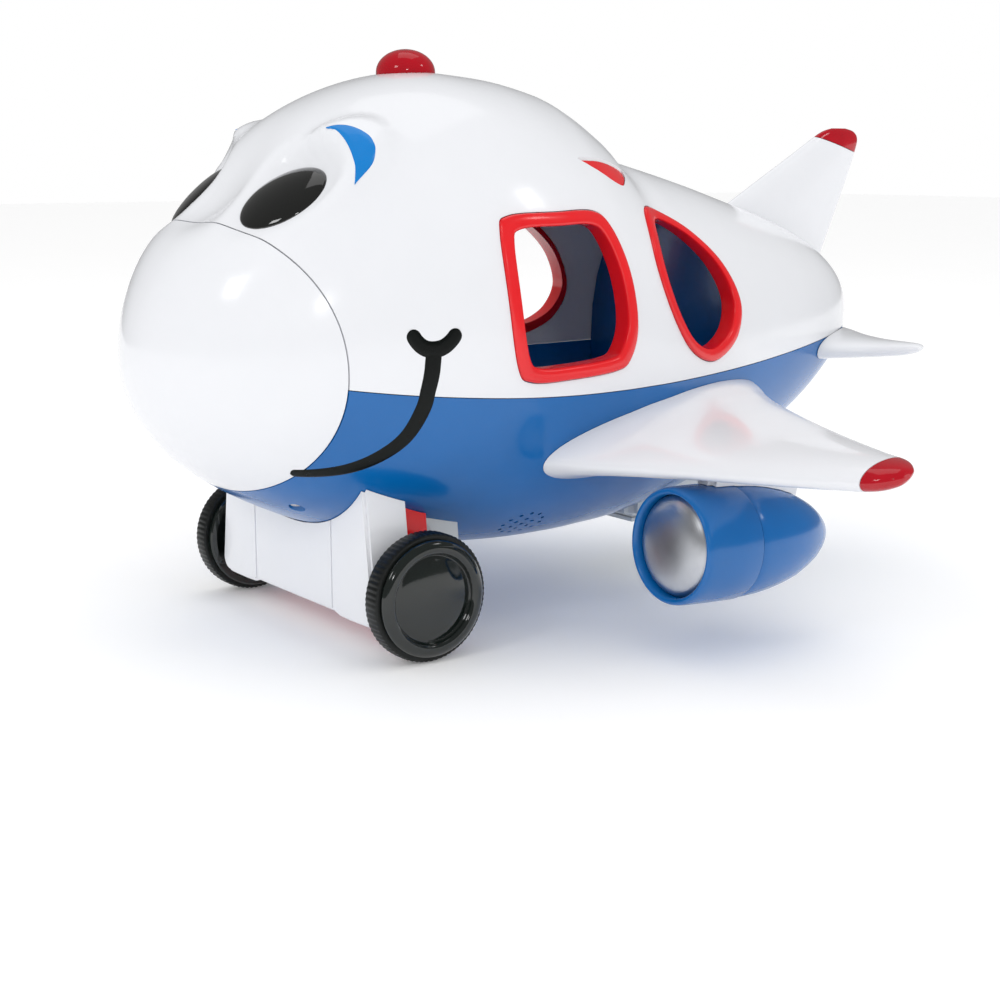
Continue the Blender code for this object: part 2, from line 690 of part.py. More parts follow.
def make_drive():
    tooth = 2 * math.pi / PINION_TEETH
    gear("axle_gear", AXLE_TEETH, IDLER_ANGLE, SECOND_STAGE, (0, AXLE_Y, WHEEL_R), AXLE_R + RUN_GAP / 2)
    axle = [(0, -0.0683), (AXLE_R, -0.0683), (AXLE_R, 0.0683), (0, 0.0683)]
    add("front_axle", lathe(axle, 20, "X"), "steel", at=(0, AXLE_Y, WHEEL_R))
    place = (0, IDLER_Y, IDLER_Z)
    small = (SECOND_STAGE[0], FIRST_STAGE[0] + 0.001)
    idler = gear("idler_gear", PINION_TEETH, IDLER_ANGLE + math.pi + tooth / 2, small, place, 0)
    large = (FIRST_STAGE[0], FIRST_STAGE[1] - 0.001)
    big = add("big", prism(gear_outline(AXLE_TEETH, MOTOR_ANGLE), *large), at=place)
    combine(idler, big, "UNION")
    cut_bore(idler, 0.0012, place)
    pin = [(0, 0.0005), (0.0009, 0.0005), (0.0009, 0.0130), (0, 0.0130)]
    add("idler_pin", lathe(pin, 12, "X"), "steel", at=place)
    place = (0, MOTOR_Y, MOTOR_Z)
    gear("motor_pinion", PINION_TEETH, MOTOR_ANGLE + math.pi + tooth / 2, FIRST_STAGE, place, 0.0012, "steel")
    can = [(0, 0.0070), (0.0009, 0.0070), (0.0009, 0.0138), (0.003, 0.0138), (0.003, 0.0150), (0.0098, 0.0150),
           (0.0098, 0.0395), (0.0050, 0.0395), (0.0050, 0.0415), (0, 0.0415)]
    add("drive_motor", lathe(can, 20, "X"), "steel", at=place)


def make_wheels():
    for side, letter in ((1, "L"), (-1, "R")):
        inner_x = WHEEL_FACE_X - WHEEL_WIDTH
        for name, profile, colour in (("wheel", WHEEL_PROFILE, "black"), ("tyre", TYRE_PROFILE, "rubber")):
            points = [(r * MM, side * (inner_x + h * MM)) for r, h in profile]
            form = lathe(points, 24, "X") if name == "wheel" else tube(points, 32, "X")
            add(f"{name}_{letter}", form, colour, at=(0, AXLE_Y, WHEEL_R))


def tapered_box(front, back, foot, inset=0.0):
    """A block across the airplane that narrows upwards, from foot to inside the hull."""
    top = 0.075
    slope = (HOUSING_X - HOUSING_TOP_X) / (top - HOUSING_FOOT)
    low_x, top_x = (HOUSING_X - slope * (z - HOUSING_FOOT) - inset for z in (foot, top))
    return prism([(-low_x, foot), (low_x, foot), (top_x, top), (-top_x, top)], front, back, "Y")


def under_hull(name, front, back, foot, inset, colour, front_wall=0.0, back_wall=0.0):
    """A housing across the hull's belly, hollow and open above, closed at the front or back by its walls."""
    wall = 0.0018
    made = add(name, tapered_box(front, back, foot, inset), colour)
    open_front = front + front_wall if front_wall else front - 0.01
    open_back = back - back_wall if back_wall else back + 0.01
    combine(made, add("hollow", tapered_box(open_front, open_back, foot + wall, inset + wall)), "DIFFERENCE")
    combine(made, add("belly", hull_body(GAP)), "DIFFERENCE")
    return made


FRAME_BACK, COVER_BACK = AXLE_Y + 0.0105, AXLE_Y + 0.026
FRAME_FOOT, COVER_FOOT = 0.0127, 0.0245
FRAME_INSET, COVER_INSET = 0.003, 0.006


def make_front_gear():
    """White housing across the airplane, and behind it the red gearbox frame and the grey cover."""
    wall, half = 0.0018, GAP / 2
    front = AXLE_Y - HOUSING_FRONT
    housing = under_hull("gear_housing", front, AXLE_Y - half, HOUSING_FOOT, 0, "white", front_wall=wall)
    frame = under_hull("gearbox_frame", AXLE_Y + half, FRAME_BACK, FRAME_FOOT, FRAME_INSET, "red")
    under_hull("gearbox_cover", FRAME_BACK + GAP, COVER_BACK, COVER_FOOT, COVER_INSET, "grey", back_wall=wall)
    for half_bearing in (housing, frame):
        cut_bore(half_bearing, AXLE_R + RUN_GAP, (0, AXLE_Y, WHEEL_R))


# ---------------------------------------------------------------- belly: batteries and caster

BELLY_X, BELLY_FRONT, BELLY_BACK = 0.030, AXLE_Y + 0.1255, AXLE_Y + 0.214
BAY_FRONT, BAY_BACK = AXLE_Y + 0.1295, AXLE_Y + 0.1835
BAY_X = 0.0262
DOOR_THICK, TRAY_TOP = 0.0018, 0.0485
CELL_R, CELL_LENGTH, CELL_PITCH, CELL_Z = 0.0072, 0.050, 0.0160, 0.0385
CASTER_STEM_R, STEM_TOP, FORK_X = 0.003, 0.044, 0.0082


def make_belly():
    """Grey housing under the rear belly, its battery door, the battery box and the cells."""
    form = box((-BELLY_X, BELLY_FRONT, BELLY_PLATE_Z), (BELLY_X, BELLY_BACK, 0.090), 0.004, 3)
    housing = add("belly_housing", form, "grey")
    combine(housing, add("belly", hull_body(GAP)), "DIFFERENCE")
    low, high = (-BAY_X - GAP, BAY_FRONT - GAP, 0.0), (BAY_X + GAP, BAY_BACK + GAP, 0.1)
    combine(housing, add("bay", box(low, high)), "DIFFERENCE")
    cut_round(housing, (0, CASTER_Y, 0), CASTER_STEM_R + RUN_GAP, 0.0, STEM_TOP + 0.001)
    door_top = BELLY_PLATE_Z + DOOR_THICK
    door = add("battery_door", box((-BAY_X, BAY_FRONT, BELLY_PLATE_Z), (BAY_X, BAY_BACK, door_top)), "grey")
    screw_y = BAY_FRONT + 0.0045
    cut_round(door, (0, screw_y, BELLY_PLATE_Z), 0.0022)
    make_screw("battery_door_screw", (0, screw_y, BELLY_PLATE_Z + 0.0003), 0.0019)
    wall = 0.0015
    tray = add("battery_box", box((-BAY_X, BAY_FRONT, door_top + GAP), (BAY_X, BAY_BACK, TRAY_TOP)), "grey")
    low = (-BAY_X + wall, BAY_FRONT + wall, 0)
    inside = box(low, (-low[0], BAY_BACK - wall, TRAY_TOP - wall))
    combine(tray, add("inside", inside), "DIFFERENCE")
    end, button_r = CELL_LENGTH / 2, 0.0027
    cell = [(0, -end), (0.0066, -end), (CELL_R, -end + 0.0006), (CELL_R, end - 0.0020), (0.0060, end - 0.0014),
            (button_r, end - 0.0014), (button_r, end), (0, end)]
    for index in range(3):
        place = ((index - 1) * CELL_PITCH, (BAY_FRONT + BAY_BACK) / 2, CELL_Z)
        turn = (0, 0, math.pi if index % 2 else 0)
        add(f"battery_{index + 1}", lathe(cell, 16, "Y"), "cell", at=place, turn=turn)


def cut_round(target, place, radius, low=-0.02, high=0.02):
    tool = lathe([(0, low), (radius, low), (radius, high), (0, high)], 20)
    combine(target, add("round", tool, at=place), "DIFFERENCE")


def make_screw(name, place, head_r):
    """A self-tapping screw, head down, with a cross recess."""
    shank = head_r * 0.5
    profile = [(0, 0), (head_r * 0.75, 0), (head_r, 0.0006), (head_r, 0.0012), (shank, 0.0022), (shank, 0.0030),
               (0, 0.0034)]
    screw = add(name, lathe(profile, 10), "steel", at=place)
    for size in ((head_r * 0.55, head_r * 0.14), (head_r * 0.14, head_r * 0.55)):
        low = (place[0] - size[0], place[1] - size[1], place[2] - 0.001)
        high = (place[0] + size[0], place[1] + size[1], place[2] + 0.0007)
        combine(screw, add("slot", box(low, high)), "DIFFERENCE")


def make_caster():
    """Swivelling fork under the tail with one small wheel that trails behind its pivot."""
    wheel_y = CASTER_Y + CASTER_TRAIL
    plate_top = BELLY_PLATE_Z - 0.0006
    foot = plate_top - 0.001
    stem = [(0, foot), (CASTER_STEM_R, foot), (CASTER_STEM_R, STEM_TOP), (0, STEM_TOP)]
    fork = add("caster_fork", lathe(stem, 24), "grey", at=(0, CASTER_Y, 0))
    low, high = (-FORK_X, CASTER_Y - 0.006, plate_top - 0.0022), (FORK_X, wheel_y + 0.006, plate_top)
    combine(fork, add("plate", box(low, high)), "UNION")
    for side in (1, -1):
        cheek_x = sorted((side * (FORK_X - 0.0022), side * FORK_X))
        outline = [(CASTER_Y - 0.004, foot), (wheel_y - 0.0040, 0.0085), (wheel_y, 0.0068),
                   (wheel_y + 0.0040, 0.0085), (wheel_y + 0.0055, foot)]
        combine(fork, add("cheek", prism(outline, *cheek_x)), "UNION")
    cut_bore(fork, 0.0013, (0, wheel_y, CASTER_R), 0.02)
    pin = [(0, -0.0086), (0.0010, -0.0086), (0.0010, 0.0086), (0, 0.0086)]
    add("caster_pin", lathe(pin, 12, "X"), "steel", at=(0, wheel_y, CASTER_R))
    bore, shoulder, half = 0.0014, CASTER_R - 0.0017, 0.0052
    tread = [(bore, -half), (shoulder, -half), (CASTER_R, -0.0040), (CASTER_R, 0.0040), (shoulder, half),
             (bore, half)]
    add("caster_wheel", tube(tread, 24, "X"), "black", at=(0, wheel_y, CASTER_R))


# ---------------------------------------------------------------- electronics, switch and screws

SPEAKER_AT = (0.048, AXLE_Y + 0.056)
SPEAKER_TILT = math.radians(50)
SPEAKER_R = 0.0125
SWITCH_Y = AXLE_Y + 0.108
SWITCH_TRAVEL = 0.004
SCREW_PLACES = ((0.028, -0.030), (0.030, 0.112))  # across, behind the axle


def hull_floor_at(x, y):
    """Height of the hull's outside at this place of its belly."""
    low, high = -math.pi / 2, 0.0
    for _ in range(40):
        middle = (low + high) / 2
        if hull_point(y - NOSE_Y, middle).x < x:
            low = middle
        else:
            high = middle
    return hull_point(y - NOSE_Y, low).z


def make_electronics(lower):
    x, y = SPEAKER_AT
    z = hull_floor_at(x, y)
    tilt = Matrix.Translation((x, y, z)) @ Matrix.Rotation(-SPEAKER_TILT, 4, "Y")
    for ring, count in ((0, 1), (0.0042, 6), (0.0084, 12)):
        for i in range(count):
            angle = 2 * math.pi * i / count
            hole = lathe([(0, -0.012), (0.0008, -0.012), (0.0008, 0.012), (0, 0.012)], 6)
            hole.transform(tilt @ Matrix.Translation((ring * math.cos(angle), ring * math.sin(angle), 0)))
            combine(lower, add("hole", hole), "DIFFERENCE")
    body = [(0, 0.0092), (SPEAKER_R, 0.0092), (SPEAKER_R, 0.0115), (0.007, 0.0140), (0.007, 0.0175),
            (0, 0.0175)]
    speaker = lathe(body, 20)
    speaker.transform(tilt)
    add("speaker", speaker, "cell")
    add("circuit_board", box((-0.026, AXLE_Y + 0.052, 0.056), (0.026, AXLE_Y + 0.112, 0.0576)), "board")
    slot = box((-0.0028, SWITCH_Y - 0.0045, 0.0), (0.0028, SWITCH_Y + 0.0045, 0.05))
    combine(lower, add("slot", slot), "DIFFERENCE")
    floor = hull_floor_at(0.0, SWITCH_Y)
    clear = WALL + 0.0015  # the floor rises towards the tail
    start = SWITCH_Y - SWITCH_TRAVEL / 2
    knob = box((-0.0024, -0.0022, -0.0006), (0.0024, 0.0022, clear + 0.0010))
    switch = add("power_switch", knob, "black", at=(0, start, floor))
    flange = box((-0.0050, start - 0.0055, floor + clear), (0.0050, start + 0.0055, floor + clear + 0.0014))
    combine(switch, add("flange", flange), "UNION")


def make_shell_screws(lower):
    for index, (x, behind) in enumerate(SCREW_PLACES):
        for side, letter in ((1, "L"), (-1, "R")):
            y = AXLE_Y + behind
            z = hull_floor_at(x, y)
            cut_round(lower, (side * x, y, z), 0.0030)
            make_screw(f"shell_screw_{index + 1}{letter}", (side * x, y, z + 0.0010), 0.0026)


def make_shells():
    hull = hull_shell()
    hull.name = "nose_cap"
    upper = add("upper_shell", bmesh.new())
    lower = add("lower_shell", bmesh.new())
    for part in (upper, lower):
        part.data = hull.data.copy()
    recolour(lower, "blue")
    combine(hull, cap_cutter(-GAP / 2), "INTERSECT")
    combine(upper, cap_cutter(GAP / 2), "DIFFERENCE")
    combine(lower, cap_cutter(GAP / 2), "DIFFERENCE")
    combine(upper, seam_block(True, GAP / 2), "INTERSECT")
    combine(lower, seam_block(False, -GAP / 2), "INTERSECT")
    for points in (SQUARE_WINDOW, DROP_WINDOW):
        combine(upper, add("opening", prism(window_outline(points), -0.12, 0.12)), "DIFFERENCE")
    for side in (1, -1):
        combine(upper, shoulder_tool("shoulder_hole", side), "DIFFERENCE")
        combine(upper, eye_tool("eye_hole", side, GAP), "DIFFERENCE")
    cut_round(upper, (0, LAMP_Y, 0.21), LAMP_R + GAP)
    bay = box((-0.044, AXLE_Y - 0.0135, 0.0), (0.044, AXLE_Y + 0.0225, 0.07))
    combine(lower, add("gear_bay", bay), "DIFFERENCE")
    bay = box((-BAY_X - GAP, BAY_FRONT - GAP, 0.0), (BAY_X + GAP, BAY_BACK + GAP, 0.08))
    combine(lower, add("battery_bay", bay), "DIFFERENCE")
    stem = box((-0.006, CASTER_Y - 0.006, 0.0), (0.006, CASTER_Y + 0.006, 0.08))
    combine(lower, add("stem_bay", stem), "DIFFERENCE")
    return lower


def main():
    clear_scene()
    lower = make_shells()
    for side, letter in ((1, "L"), (-1, "R")):
        window_frame(f"square_window_frame_{letter}", SQUARE_WINDOW, side)
        window_frame(f"drop_window_frame_{letter}", DROP_WINDOW, side)
        make_shoulder_panel(side, letter)
        make_engine(side, letter)
    make_cabin_tub()
    make_eyes()
    make_lamp()
    make_wings()
    make_fin()
    make_front_gear()
    make_drive()
    make_wheels()
    make_belly()
    make_caster()
    make_electronics(lower)
    make_shell_screws(lower)


main()
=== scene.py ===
"""The toy airplane as it looks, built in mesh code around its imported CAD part.

Metres, +Z up, nose towards -Y, left is +X. A piece that stands for a CAD node has the node's name and _look.
"""

import json
import math

import bmesh
import bpy
from mathutils import Matrix, Vector


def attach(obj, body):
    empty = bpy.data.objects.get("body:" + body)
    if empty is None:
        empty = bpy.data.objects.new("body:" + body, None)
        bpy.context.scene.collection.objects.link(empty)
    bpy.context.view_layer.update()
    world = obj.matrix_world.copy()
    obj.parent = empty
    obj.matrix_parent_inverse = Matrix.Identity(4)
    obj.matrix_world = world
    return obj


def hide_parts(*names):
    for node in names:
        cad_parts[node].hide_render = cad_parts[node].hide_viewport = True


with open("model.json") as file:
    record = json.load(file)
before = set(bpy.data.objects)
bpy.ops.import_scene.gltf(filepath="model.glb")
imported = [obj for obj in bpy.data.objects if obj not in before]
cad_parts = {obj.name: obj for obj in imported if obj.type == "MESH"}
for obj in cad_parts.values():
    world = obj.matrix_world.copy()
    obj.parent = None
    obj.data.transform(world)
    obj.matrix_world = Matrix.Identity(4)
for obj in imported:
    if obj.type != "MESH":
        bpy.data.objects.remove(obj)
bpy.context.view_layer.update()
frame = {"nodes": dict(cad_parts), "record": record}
MM = 0.001

# Dimensions that the CAD part has too
HULL_LENGTH = 0.354  # nose tip to tail tip
NOSE_Y = -0.1825
AXLE_Y = NOSE_Y + 0.080
WALL = 0.0026
SMOOTH_DEGREES = 32  # an edge whose faces turn by more than this is sharp
CAP_GAP = 0.00025  # on each side of the joint between nose cap and shells
SEAM_GAP = 0.00015  # on each side of the joint between upper and lower shell
PART_GAP = 0.0003  # between other neighbouring pieces
SECTION_POWER = 2.25  # of the superellipse that every hull section is
WAIST_SHARE = 0.42  # height of the widest point between belly and roof

# Stations along the hull: distance from the nose tip, roof, belly and half width, in mm
STATIONS = (
    (0, 108, 108, 0),
    (3, 124, 93, 16),
    (8, 135, 83, 27),
    (18, 151, 70, 41),
    (30, 164, 60, 51),
    (45, 178, 51, 60),
    (65, 193, 42, 67.5),
    (90, 204, 34, 73),
    (115, 208.5, 29, 77),
    (140, 206, 27, 78),
    (165, 197.5, 27, 76.5),
    (178, 190.5, 27.8, 74.5),
    (188, 184, 28.5, 73),
    (197, 178.5, 29.8, 71),
    (210, 175.5, 32, 68),
    (240, 168, 39, 60),
    (270, 159.5, 49, 50.5),
    (300, 150.5, 62, 39.5),
    (325, 140, 77, 28.5),
    (342, 129, 90, 17.5),
    (350, 120, 99, 9),
    (354, 109, 109, 0),
)
DOME_HEIGHT = 0.0065  # how far the head stands above the rear roof at its back edge
DOME_START, DOME_CREST, DOME_EDGE, DOME_FOOT = 0.125, 0.186, 0.189, 0.195

WHEEL_R = 0.0235
WHEEL_WIDTH = 0.013
WHEEL_FACE_X = 0.073
NACELLE_X, NACELLE_Y, NACELLE_Z = 0.117, AXLE_Y + 0.070, 0.0416
NACELLE_TILT = math.radians(-2.6)  # the tail of the engine hangs a little
HOUSING_X, HOUSING_TOP_X, HOUSING_FRONT, HOUSING_FOOT = 0.0585, 0.051, 0.017, 0.0125
SWITCH_Y, CASTER_Y = AXLE_Y + 0.108, AXLE_Y + 0.194
BAY_X, BAY_FRONT, BAY_BACK = 0.0265, AXLE_Y + 0.1292, AXLE_Y + 0.1838
LAMP_Y, LAMP_R, LAMP_TOP = AXLE_Y + 0.0365, 0.0112, 0.2170

BODY_OF = {node: body for body, nodes in frame["record"]["behaviour"]["bodies"].items() for node in nodes}
SLOT_OF = {part["node"]: part["material_slot"] for part in frame["record"]["subparts"]}


def add(name, build, smooth=SMOOTH_DEGREES):
    """An object made from a bmesh, which this frees."""
    bmesh.ops.recalc_face_normals(build, faces=build.faces)
    if build.calc_volume(signed=True) < 0:
        bmesh.ops.reverse_faces(build, faces=build.faces)
    mesh = bpy.data.meshes.new(name)
    build.to_mesh(mesh)
    build.free()
    made = bpy.data.objects.new(name, mesh)
    bpy.context.scene.collection.objects.link(made)
    mesh.shade_smooth()
    mesh.set_sharp_from_angle(angle=math.radians(smooth))
    return made


def evaluated_mesh(thing):
    bpy.context.view_layer.update()
    return bpy.data.meshes.new_from_object(thing.evaluated_get(bpy.context.evaluated_depsgraph_get()))


def combine(target, tool, how="DIFFERENCE", keep=False):
    """The Boolean of two objects, applied to the first. The second is removed unless keep is set."""
    step = target.modifiers.new("combine", "BOOLEAN")
    step.operation, step.object, step.solver = how, tool, "MANIFOLD"
    result = evaluated_mesh(target)
    if not result.polygons:
        step.solver = "EXACT"
        result = evaluated_mesh(target)
    target.modifiers.clear()
    old, target.data = target.data, result
    bpy.data.meshes.remove(old)
    result.shade_smooth()
    result.set_sharp_from_angle(angle=math.radians(SMOOTH_DEGREES))
    if not keep:
        bpy.data.objects.remove(tool)
    return target


def copy_of(thing, name):
    made = bpy.data.objects.new(name, thing.data.copy())
    bpy.context.scene.collection.objects.link(made)
    return made


def piece(made, nodes, slot=None, body=None, look=None):
    """Puts a finished piece on its body, in the place of CAD nodes."""
    made.data.materials.clear()
    slot = slot or SLOT_OF[nodes[0]]
    made.data.materials.append(look or LOOKS[slot])
    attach(made, body or BODY_OF[nodes[0]])
    if nodes:
        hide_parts(*nodes)
    return made


def move(build, at=(0, 0, 0), tilt=0.0):
    build.transform(Matrix.Translation(at) @ Matrix.Rotation(tilt, 4, "X"))
    return build


def bridge(build, rings):
    """Faces between neighbouring rings of vertices. A ring of one vertex is a tip."""
    steps = max(len(ring) for ring in rings)
    for near, far in zip(rings, rings[1:]):
        for i in range(steps):
            a, b = near[i % len(near)], near[(i + 1) % len(near)]
            c, d = far[(i + 1) % len(far)], far[i % len(far)]
            corners = list(dict.fromkeys((a, b, c, d)))
            if len(corners) > 2:
                build.faces.new(corners)


def lay_along(build, axis):
    """Turns a body made along Z so that it lies along this axis."""
    if axis == "X":
        build.transform(Matrix.Rotation(math.radians(90), 4, "Y"))
    if axis == "Y":
        build.transform(Matrix.Rotation(math.radians(-90), 4, "X"))
    return build


def lathe(profile, steps=32, axis="Z"):
    """A body turned from (radius, height) points, whose first and last lie on the axis."""
    build = bmesh.new()
    rings = []
    for radius, height in profile:
        if radius == 0:
            rings.append([build.verts.new((0, 0, height))])
            continue
        ring = []
        for i in range(steps):
            angle = 2 * math.pi * i / steps
            ring.append(build.verts.new((radius * math.cos(angle), radius * math.sin(angle), height)))
        rings.append(ring)
    bridge(build, rings)
    return lay_along(build, axis)


def tube(profile, steps=32, axis="Z"):
    """A ring turned from a closed loop of (radius, height) points."""
    build = bmesh.new()
    rings = []
    for i in range(steps):
        angle = 2 * math.pi * i / steps
        rings.append([build.verts.new((r * math.cos(angle), r * math.sin(angle), h)) for r, h in profile])
    bridge(build, rings + rings[:1])
    return lay_along(build, axis)


def prism(outline, low, high, axis="X"):
    """An outline of (a, b) points pushed from low to high: (y, z) along X, (x, z) along Y, (x, y) along Z."""
    place = {
        "X": lambda a, b, t: (t, a, b),
        "Y": lambda a, b, t: (a, t, b),
        "Z": lambda a, b, t: (a, b, t),
    }[axis]
    build = bmesh.new()
    ends = [[build.verts.new(place(a, b, t)) for a, b in outline] for t in (low, high)]
    build.faces.new(ends[0])
    build.faces.new(ends[1])
    count = len(outline)
    for i in range(count):
        j = (i + 1) % count
        build.faces.new((ends[0][i], ends[0][j], ends[1][j], ends[1][i]))
    bmesh.ops.recalc_face_normals(build, faces=build.faces)
    return build


def round_outline(points, steps=4, grow=0.0):
    """A closed smooth curve through the points, which are first spread so that its box grows by grow."""
    points = spread_outline(points, grow)
    count, curve = len(points), []
    for i in range(count):
        before, start, end, after = (Vector(points[(i + k) % count]) for k in (-1, 0, 1, 2))
        for j in range(steps):
            t = j / steps
            curve.append(
                0.5 * (2 * start + (end - before) * t + (2 * before - 5 * start + 4 * end - after) * t * t
                       + (3 * start - before - 3 * end + after) * t ** 3)
            )
    return curve


def spread_outline(points, grow):
    """The outline scaled about the middle of its box, which grows by grow on every side."""
    spread = []
    for axis in (0, 1):
        values = [point[axis] for point in points]
        middle, half = (max(values) + min(values)) / 2, (max(values) - min(values)) / 2
        spread.append([middle + (value - middle) * (half + grow) / half for value in values])
    return list(zip(*spread))


# ---------------------------------------------------------------- hull form
def arc_place(station):
    """Place along the hull as an angle share, so that both ends come out round."""
    return math.acos(max(-1, min(1, 1 - 2 * station / (HULL_LENGTH / MM)))) / math.pi


def station_values(station):
    """Roof, belly and half width in mm at a distance in mm from the nose tip, on a smooth curve."""
    knots = [arc_place(row[0]) for row in STATIONS]
    place = arc_place(station)
    i = max(k for k in range(len(knots) - 1) if knots[k] <= place or k == 0)
    width = knots[i + 1] - knots[i]
    t = (place - knots[i]) / width
    values = []
    for column in (1, 2, 3):
        def slope(k):
            low, high = max(k - 1, 0), min(k + 1, len(knots) - 1)
            return (STATIONS[high][column] - STATIONS[low][column]) / (knots[high] - knots[low])
        start, end = STATIONS[i][column], STATIONS[i + 1][column]
        values.append(
            (2 * t ** 3 - 3 * t * t + 1) * start + (t ** 3 - 2 * t * t + t) * width * slope(i)
            + (3 * t * t - 2 * t ** 3) * end + (t ** 3 - t * t) * width * slope(i + 1)
        )
    return values


def dome_rise(distance):
    """Share of the dome's extra height at this distance from the nose tip."""
    if distance <= DOME_START or distance >= DOME_FOOT:
        return 0
    if distance <= DOME_CREST:
        t = (distance - DOME_START) / (DOME_CREST - DOME_START)
        return t * t * (3 - 2 * t)
    if distance <= DOME_EDGE:
        return 1
    t = (DOME_FOOT - distance) / (DOME_FOOT - DOME_EDGE)
    return t * t * (3 - 2 * t)


def hull_point(distance, angle, grow=0.0):
    """A point of the hull's surface, moved out by grow. Angle 0 is the left waist, 90 degrees the roof."""
    roof, belly, half = (value * MM for value in station_values(distance / MM))
    waist = belly + WAIST_SHARE * (roof - belly)
    across, up = math.cos(angle), math.sin(angle)
    reach = 2 / SECTION_POWER
    tall = roof - waist if up > 0 else waist - belly
    half, tall = (size + max(grow, -0.8 * size) for size in (half, tall))
    x = math.copysign(abs(across) ** reach, across) * half
    z = waist + math.copysign(abs(up) ** reach, up) * tall
    z += DOME_HEIGHT * dome_rise(distance) * max(0, up) ** 8
    y = NOSE_Y + distance * (HULL_LENGTH + 2 * grow) / HULL_LENGTH - grow
    return Vector((x, y, z))


# ---------------------------------------------------------------- hull

# Plane of the left eye: its middle, the way out of the hull, its long way; half length and half width
EYE_MIDDLE = Vector((0.0318, AXLE_Y - 0.0346, 0.1632))
EYE_OUT = Vector((0.312, -0.608, 0.730)).normalized()
EYE_LONG = Vector((0.337, 0.790, 0.513))
EYE_LONG = (EYE_LONG - EYE_OUT * EYE_LONG.dot(EYE_OUT)).normalized()
EYE_SHORT = EYE_OUT.cross(EYE_LONG)
EYE_HALF_LONG, EYE_HALF_WIDE = 0.0169, 0.0124


def smooth_step(low, high, value):
    t = min(1, max(0, (value - low) / (high - low)))
    return t * t * (3 - 2 * t)


def set_eyes_in(point, grow):
    """The hull's point, drawn to the plane of an eye where it is near one."""
    side = -1 if point.x < 0 else 1
    offset = Vector((side * point.x, point.y, point.z)) - EYE_MIDDLE
    depth = offset.dot(EYE_OUT)
    if abs(depth) > 0.02 or offset.length > 0.045:
        return point
    reach = math.hypot(offset.dot(EYE_LONG) / EYE_HALF_LONG, offset.dot(EYE_SHORT) / EYE_HALF_WIDE)
    pull = EYE_OUT * ((1 - smooth_step(1.05, 1.75, reach)) * (depth - grow))
    return point - Vector((side * pull.x, pull.y, pull.z))


# The valley between the eyes: depth, half width, distance behind the nose tip, half length
VALLEY_DEEP, VALLEY_WIDE, VALLEY_AT, VALLEY_LONG = 0.0100, 0.022, 0.036, 0.015
# The mound behind each eye: height, distance behind the nose tip, half length, then in degrees its place up
# from the waist and its half spread
MOUND_HIGH, MOUND_AT, MOUND_LONG, MOUND_ANGLE, MOUND_SPREAD = 0.0040, 0.056, 0.029, 55, 16


def forehead(point, distance, angle):
    """The hull's point, lowered between the eyes and raised behind them."""
    if not 0.2 < angle < math.pi - 0.2 or distance > 0.11:
        return point
    ahead = (distance - VALLEY_AT) / VALLEY_LONG
    point.z -= VALLEY_DEEP * math.exp(-(point.x / VALLEY_WIDE) ** 2 - ahead * ahead)
    around = math.degrees(angle if angle < math.pi / 2 else math.pi - angle)
    reach = math.hypot((distance - MOUND_AT) / MOUND_LONG, (around - MOUND_ANGLE) / MOUND_SPREAD)
    rise = MOUND_HIGH * (1 - smooth_step(0.62, 1.05, reach))
    side = -1 if point.x < 0 else 1
    return point + Vector((side * 0.45, -0.15, 0.88)) * rise


def skin(distance, angle, grow=0.0):
    """A point of the finished hull's surface, with the face's forms."""
    return set_eyes_in(forehead(hull_point(distance, angle, grow), distance, angle), grow)


def skin_normal(distance, angle):
    """The way out of the finished hull's surface."""
    here = skin(distance, angle)
    out = (skin(distance + 0.0005, angle) - here).cross(skin(distance, angle + 0.005) - here).normalized()
    middle = Vector((0, here.y, station_values(distance / MM)[1] * MM * 0.5 + 0.05))
    return out if out.dot(here - middle) > 0 else -out


def hull_body(grow=0.0, eyes=True, rings=150, steps=224):
    """The hull's closed surface, moved outwards by grow. Without eyes it has no seats, valley or mounds."""
    build = bmesh.new()
    spots = sorted(HULL_LENGTH * (1 - math.cos(math.pi * i / rings)) / 2 for i in range(1, rings))
    place = skin if eyes else hull_point
    loops = [
        [build.verts.new(place(distance, 2 * math.pi * i / steps, grow)) for i in range(steps)]
        for distance in spots
    ]
    ends = [hull_point(distance, 0, grow) for distance in (0, HULL_LENGTH)]
    nose, tail = (build.verts.new((0, tip.y, tip.z)) for tip in ends)
    bridge(build, loops)
    for i in range(steps):
        j = (i + 1) % steps
        build.faces.new((nose, loops[0][j], loops[0][i]))
        build.faces.new((tail, loops[-1][i], loops[-1][j]))
    return build


def hull_side(y, z):
    """Half width of the hull at this place of its side."""
    low, high = -math.pi / 2, math.pi / 2
    for _ in range(30):
        middle = (low + high) / 2
        if hull_point(y - NOSE_Y, middle).z < z:
            low = middle
        else:
            high = middle
    return hull_point(y - NOSE_Y, low).x


def hull_floor_at(x, y):
    """Height of the hull's outside at this place of its belly."""
    low, high = -math.pi / 2, 0.0
    for _ in range(30):
        middle = (low + high) / 2
        if hull_point(y - NOSE_Y, middle).x < x:
            low = middle
        else:
            high = middle
    return hull_point(y - NOSE_Y, low).z


def seam_height(distance):
    """Height of the seam between the white and the blue shell."""
    low_at, low = 0.150, 0.092
    if distance < low_at:
        return low + 0.009 * ((low_at - distance) / 0.110) ** 2
    return low + 0.006 * ((distance - low_at) / 0.150) ** 2


def seam_block(above, gap):
    """A block that holds all of the hull above the seam, or all below it."""
    edge = [(NOSE_Y + d, seam_height(d) + gap) for d in (k * 0.005 - 0.01 for k in range(77))]
    reach = 0.3 if above else -0.1
    return add("seam_block", prism(edge + [(edge[-1][0], reach), (edge[0][0], reach)], -0.12, 0.12))


CAP_Y, CAP_Z, CAP_R = NOSE_Y - 0.012, 0.104, 0.064  # axis and radius of the nose cap's joint


